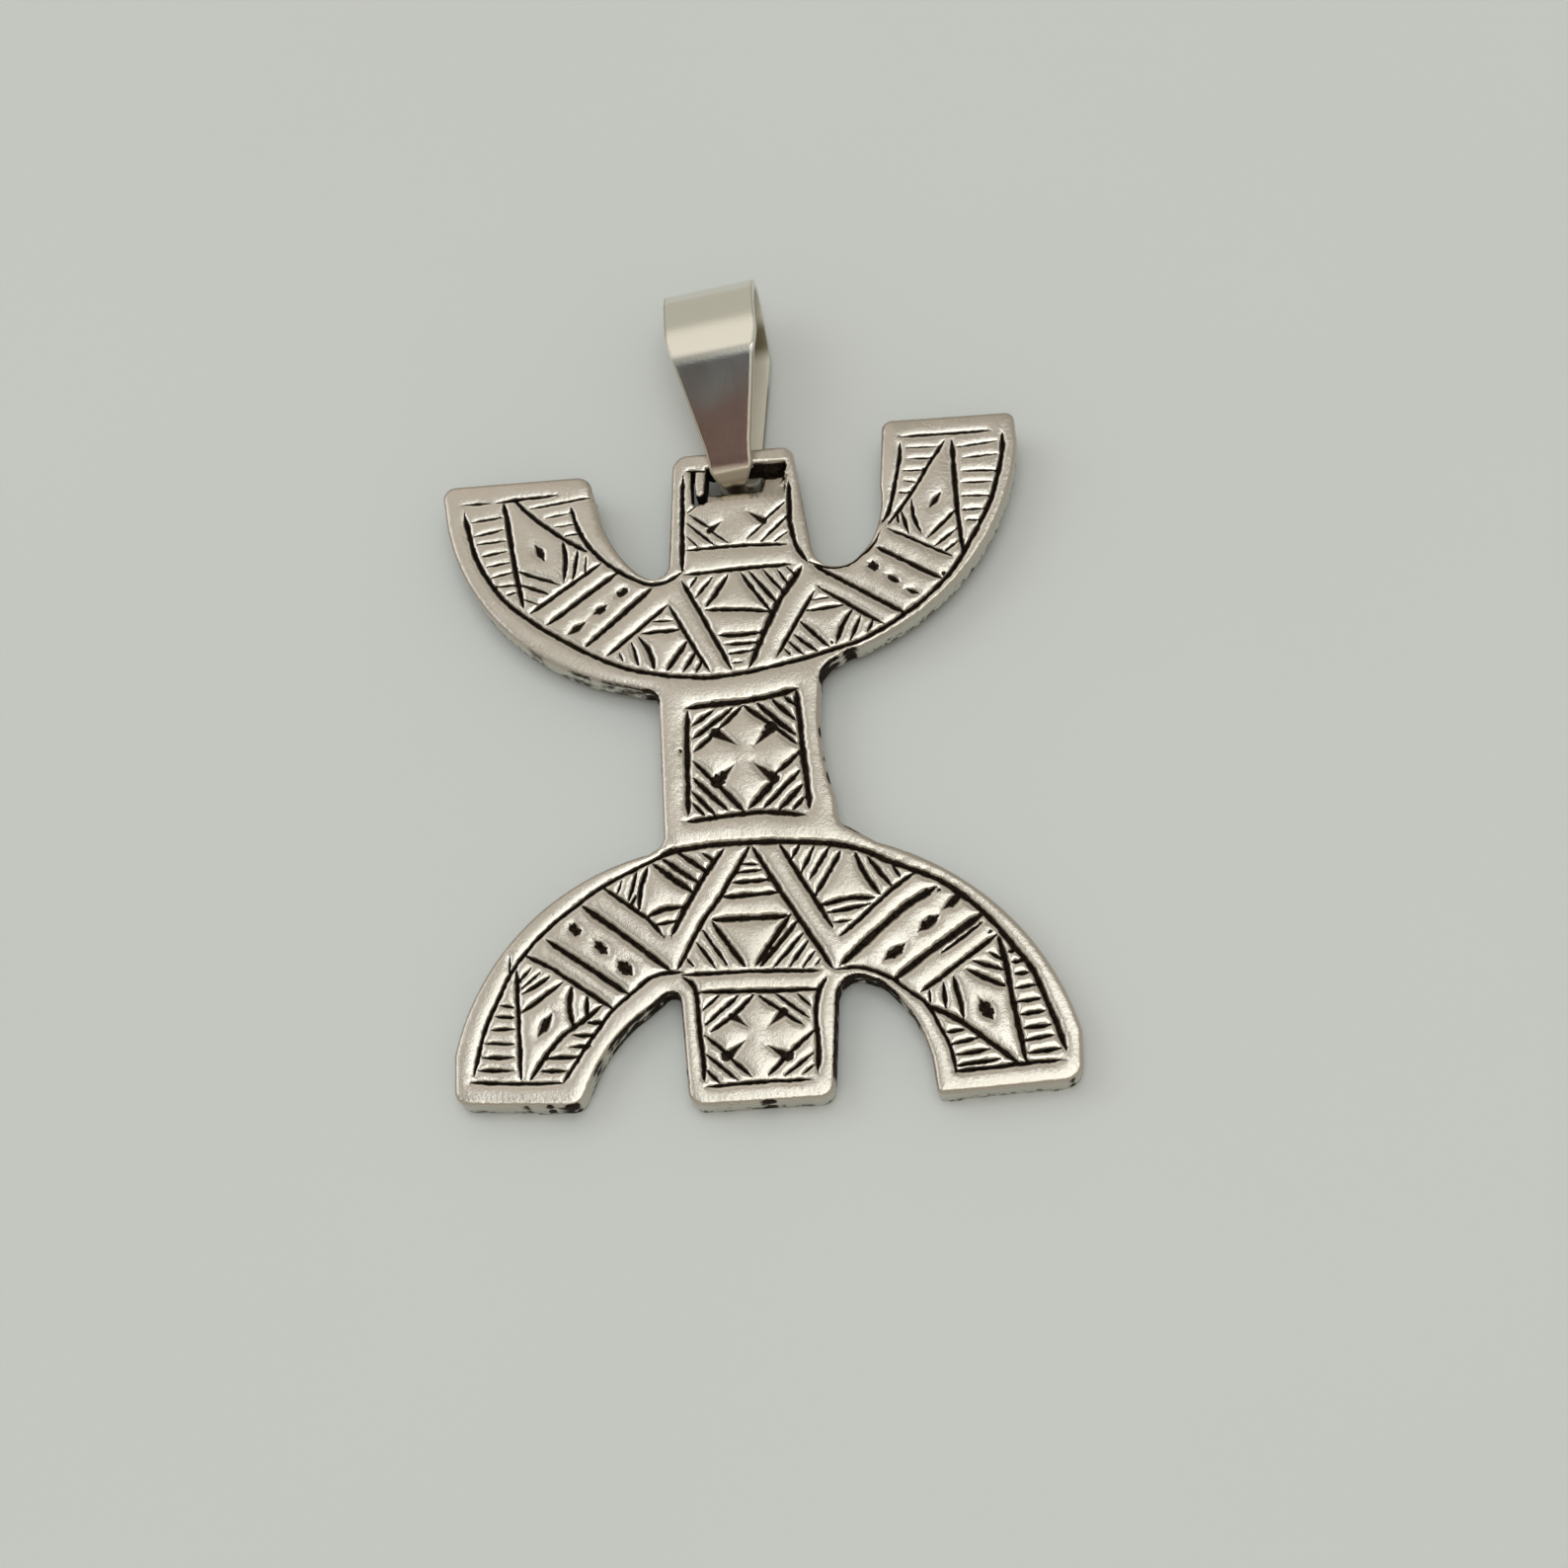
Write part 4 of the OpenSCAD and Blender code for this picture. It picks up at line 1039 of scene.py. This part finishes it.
def engraved_silver():
    """Worn silver: warm and smooth on the flats, brighter on its edges from wear and a painted
    highlight, black in the cuts and, from tarnish and painted shade, in the slot, with dirt and painted
    shade low on the side wall.
    """
    silver = Finish(bpy.data.materials.new("engraved_silver"))
    where = silver.add("ShaderNodeTexCoord", output=3)
    tarnish_and_shade, lip, wall = (silver.add("ShaderNodeAttribute", {"attribute_name": name}, output=2)
                          for name in ("tarnish_and_shade", "lip", "wall"))
    cloud = silver.grain(where, 5.0, 3.0)
    blot = silver.grain(where, 0.5, 4.0, 0.65)
    speck = silver.grain(where, 0.22, 3.0, 0.6)
    fine = silver.grain(where, 0.09, 2.0, 0.6)
    dark = silver.ease(tarnish_and_shade + (speck - 0.5) * 0.5, 0.06, 0.40)
    on_wall = silver.ease(wall, 0.8, 1.1)
    # Painted shade: the side wall is blotched dark towards the table, partly dirt and partly the shadow
    # where it meets the table.
    low_wall_dirt_and_shade = silver.ease(blot + (wall - 1.5) * 0.34, 0.57, 0.68, 0.0, 0.8) * on_wall
    freckle = silver.ease(speck, 0.72, 0.80, 0.0, 0.55) * silver.ease(lip + blot, 0.6, 1.2)
    halo = silver.ease(lip + (speck - 0.5) * 0.4, 0.80, 1.02, 0.0, 0.45)
    dark = dark + (1 - dark) * (low_wall_dirt_and_shade + (1 - low_wall_dirt_and_shade) * freckle)
    flats = silver.blend(silver.ease(cloud, 0.35, 0.7),
                         colour(0.59, 0.535, 0.465), colour(0.52, 0.47, 0.40))
    # Painted highlight: the face near each cut is lighter, partly from wear and partly a painted
    # highlight on the lips.
    wear_and_highlight = silver.ease(lip + (speck - 0.5) * 0.3, 0.40, 0.85)
    flats = silver.blend(wear_and_highlight, flats, colour(0.74, 0.69, 0.61))
    flats = silver.blend(on_wall, flats, colour(0.66, 0.64, 0.56))
    flats = silver.blend(halo, flats, colour(0.34, 0.27, 0.19))
    crust = silver.blend(silver.ease(speck, 0.35, 0.7),
                         colour(0.010, 0.007, 0.005), colour(0.045, 0.031, 0.021))
    skin = silver.blend(dark, flats, crust)
    rough_skin = 0.20 + 0.12 * cloud + 0.10 * silver.ease(wall, 0.5, 1.0) + 0.30 * dark
    bump = silver.add("ShaderNodeBump", None, {"Strength": 1.0, "Distance": 0.000014,
                      "Height": speck + 0.35 * fine + 0.6 * dark * speck})
    shader = silver.add("ShaderNodeBsdfPrincipled", None, {
        "Base Color": skin, "Metallic": 1 - 0.9 * dark, "Roughness": rough_skin, "Normal": bump,
        "Specular IOR Level": 0.04})
    silver.add("ShaderNodeOutputMaterial", None, {"Surface": shader})
    return silver.owner


# Where the strap's finish, its painted dark reflection and its painted shade change as it lies on the
# table, from and to, in m from the middle of the pendant towards the bail. The shaded tuck's top is a
# height, and the pit on the tongue a place.
TONGUE_END = (0.0125, 0.0130)
TUCK_END = (0.0140, 0.0146)
STAIN_END = (0.0145, 0.0195)
DARK_REFLECTION_END = (0.0192, 0.0200)
HOLLOW_START = (0.0210, 0.0222)
HOLLOW_END = (0.0230, 0.0240)
TUCK_TOP = (0.0004, 0.0009)
TONGUE_PIT = (0.00005, 0.01189, 0.0025)


def polished_silver():
    """The plain strap: brighter and smoother, with a warm stain towards the soldered end, a painted
    dark reflection on its slope, and painted shade where it tucks under the bar and inside its loop.
    """
    silver = Finish(bpy.data.materials.new("polished_silver"))
    where = silver.add("ShaderNodeTexCoord", output=3)
    inner, border = (silver.add("ShaderNodeAttribute", {"attribute_name": name}, output=2)
                     for name in ("inner", "border"))
    along = silver.add("ShaderNodeSeparateXYZ", None, {0: where}, 1)
    height = silver.add("ShaderNodeSeparateXYZ", None, {0: where}, 2)
    cloud = silver.grain(where, 2.4, 4.0, 0.6)
    speck = silver.grain(where, 0.35, 3.0, 0.6)
    fine = silver.grain(where, 0.14, 3.0, 0.6)
    stain = silver.ease(along + (cloud - 0.5) * 0.004, *STAIN_END, 1.0, 0.0)
    # Painted reflection: the strap's slope below the bend, and its edges there, are painted darker for
    # the dark reflection of the room.
    painted_dark_reflection = silver.ease(along, *DARK_REFLECTION_END, 1.0, 0.0)
    tongue = silver.ease(along, *TONGUE_END, 1.0, 0.0)
    # Painted shade: where the strap tucks low under the bar, it is painted near black.
    tucked_shade = silver.ease(along, *TUCK_END, 1.0, 0.0) * silver.ease(height, *TUCK_TOP, 1.0, 0.0)
    edge = silver.ease(border, 0.20, 0.45)
    from_pit = silver.add("ShaderNodeVectorMath", {"operation": "DISTANCE"},
                          {0: where, 1: Vector(TONGUE_PIT)}, 1)
    pit = silver.ease(from_pit + (speck - 0.5) * 0.0002, 0.0001, 0.0005, 0.7, 0.0)
    skin = silver.blend(painted_dark_reflection, colour(0.85, 0.83, 0.74), colour(0.46, 0.45, 0.42))
    skin = silver.blend(stain, skin, colour(0.56, 0.36, 0.29))
    skin = silver.blend(tongue, skin, colour(0.44, 0.38, 0.29))
    edge_skin = silver.blend(painted_dark_reflection, colour(0.66, 0.63, 0.55), colour(0.33, 0.31, 0.25))
    skin = silver.blend(edge * 0.9, skin, edge_skin)
    skin = silver.blend(pit, skin, colour(0.09, 0.07, 0.03))
    skin = silver.blend(tucked_shade, skin, colour(0.03, 0.025, 0.015))
    skin = silver.blend(silver.ease(speck, 0.70, 0.80, 0.0, 0.5), skin, colour(0.25, 0.20, 0.15))
    inside_face = silver.ease(inner, 0.5, 0.9)
    # Painted shade: the inside of the loop under its bend is painted dark.
    hollow_shade = silver.ease(along, *HOLLOW_START) * silver.ease(along, *HOLLOW_END, 1.0, 0.25)
    inner_skin = silver.blend(hollow_shade, colour(0.80, 0.76, 0.66), colour(0.20, 0.17, 0.10))
    skin = silver.blend(inside_face, skin, inner_skin)
    bump = silver.add("ShaderNodeBump", None, {"Strength": 1.0, "Distance": 0.000004,
                      "Height": fine + cloud})
    rough_skin = 0.09 + 0.06 * cloud + 0.4 * inside_face + 0.2 * tongue + 0.3 * edge * painted_dark_reflection
    shader = silver.add("ShaderNodeBsdfPrincipled", None, {
        "Base Color": skin, "Metallic": 1 - 0.6 * inside_face, "Roughness": rough_skin, "Normal": bump})
    silver.add("ShaderNodeOutputMaterial", None, {"Surface": shader})
    return silver.owner


def table_finish():
    """The pale matt table."""
    table = Finish(bpy.data.materials.new("table"))
    where = table.add("ShaderNodeTexCoord", output=3)
    cloud = table.grain(where, 60.0, 3.0)
    skin = table.blend(cloud, colour(0.705, 0.72, 0.71), colour(0.745, 0.76, 0.75))
    shader = table.add("ShaderNodeBsdfPrincipled", None, {"Base Color": skin, "Roughness": 0.6})
    table.add("ShaderNodeOutputMaterial", None, {"Surface": shader})
    return table.owner


def table_top():
    """The table, as wide as the view needs."""
    bm = bmesh.new()
    bmesh.ops.create_grid(bm, x_segments=1, y_segments=1, size=TABLE_W / 2)
    table = new_object(bm, "table", table_finish())


# Soft round patches of the room, each over the ones before it. Columns: the way to its middle, the
# angles at which it begins and is whole, red, green and blue
ROOM_PATCHES = [
    ((0.05, 0, 1), 23.5, 16, (2.05, 2.20, 2.22)),
    ((0.05, -0.16, 0.98), 16, 6, (2.2, 2.2, 2.1)),
    ((0.03, 0.49, 0.87), 12, 5, (0.30, 0.28, 0.24)),
    ((-0.09, 0.43, 0.898), 9, 4, (0.36, 0.34, 0.30)),
    ((-0.68, 0.30, 0.67), 22, 12, (1.5, 1.55, 1.6)),
    ((-0.23, 0.57, 0.79), 18, 9, (0.85, 0.81, 0.75)),
    ((0.02, 0.22, 0.97), 7, 3, (2.6, 2.75, 2.8)),
    ((-0.27, 0.09, 0.959), 9.5, 5.5, (0.15, 0.15, 0.145)),
]


def soft_light():
    """A plain pale room: a bright ceiling with softer and darker patches around it."""
    room = Finish(bpy.data.worlds.new("room"))
    bpy.context.scene.world = room.owner
    way = room.add("ShaderNodeTexCoord", output=0)

    def towards(direction):
        """How near a way through the room is to a direction, as a cosine."""
        return room.add("ShaderNodeVectorMath", {"operation": "DOT_PRODUCT"},
                        {0: way, 1: Vector(direction).normalized()}, 1)

    def patch(direction, outer, inner):
        """A soft round patch: 1 as near as the inner angle to a direction, 0 beyond the outer one."""
        begins, whole = (math.cos(math.radians(angle)) for angle in (outer, inner))
        return room.ease(towards(direction), begins, whole)

    shade = colour(0.50, 0.485, 0.435)
    for direction, outer, inner, light in ROOM_PATCHES:
        shade = room.blend(patch(direction, outer, inner), shade, colour(*light))
    back = room.add("ShaderNodeBackground", None, {"Color": shade, "Strength": 1.0})
    room.add("ShaderNodeOutputWorld", None, {"Surface": back})


def camera_above():
    """The camera, where the photograph was taken from: above the feet, looking down."""
    right = Vector(CAMERA_RIGHT).normalized()
    back = Vector(CAMERA_BACK)
    back = (back - right * back.dot(right)).normalized()
    turn = Matrix((right, back.cross(right), back)).transposed().to_4x4()
    camera = bpy.data.cameras.new("camera")
    camera.sensor_width = 36.0
    camera.lens = LENS
    camera.clip_start = 0.005
    seat = bpy.data.objects.new("camera", camera)
    stand = PLATE_PLACE @ Matrix.Translation(CAMERA_AT) @ turn
    stand.translation *= MM
    seat.matrix_world = stand
    bpy.context.scene.collection.objects.link(seat)
    bpy.context.scene.camera = seat
    bpy.context.scene.view_settings.view_transform = "Standard"


plate = engraved_plate(engraved_silver())
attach(plate, "pendant")
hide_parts("pendant_plate")

bail = strap_bail(polished_silver())
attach(bail, "bail")
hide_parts("bail")

table_top()
soft_light()
camera_above()
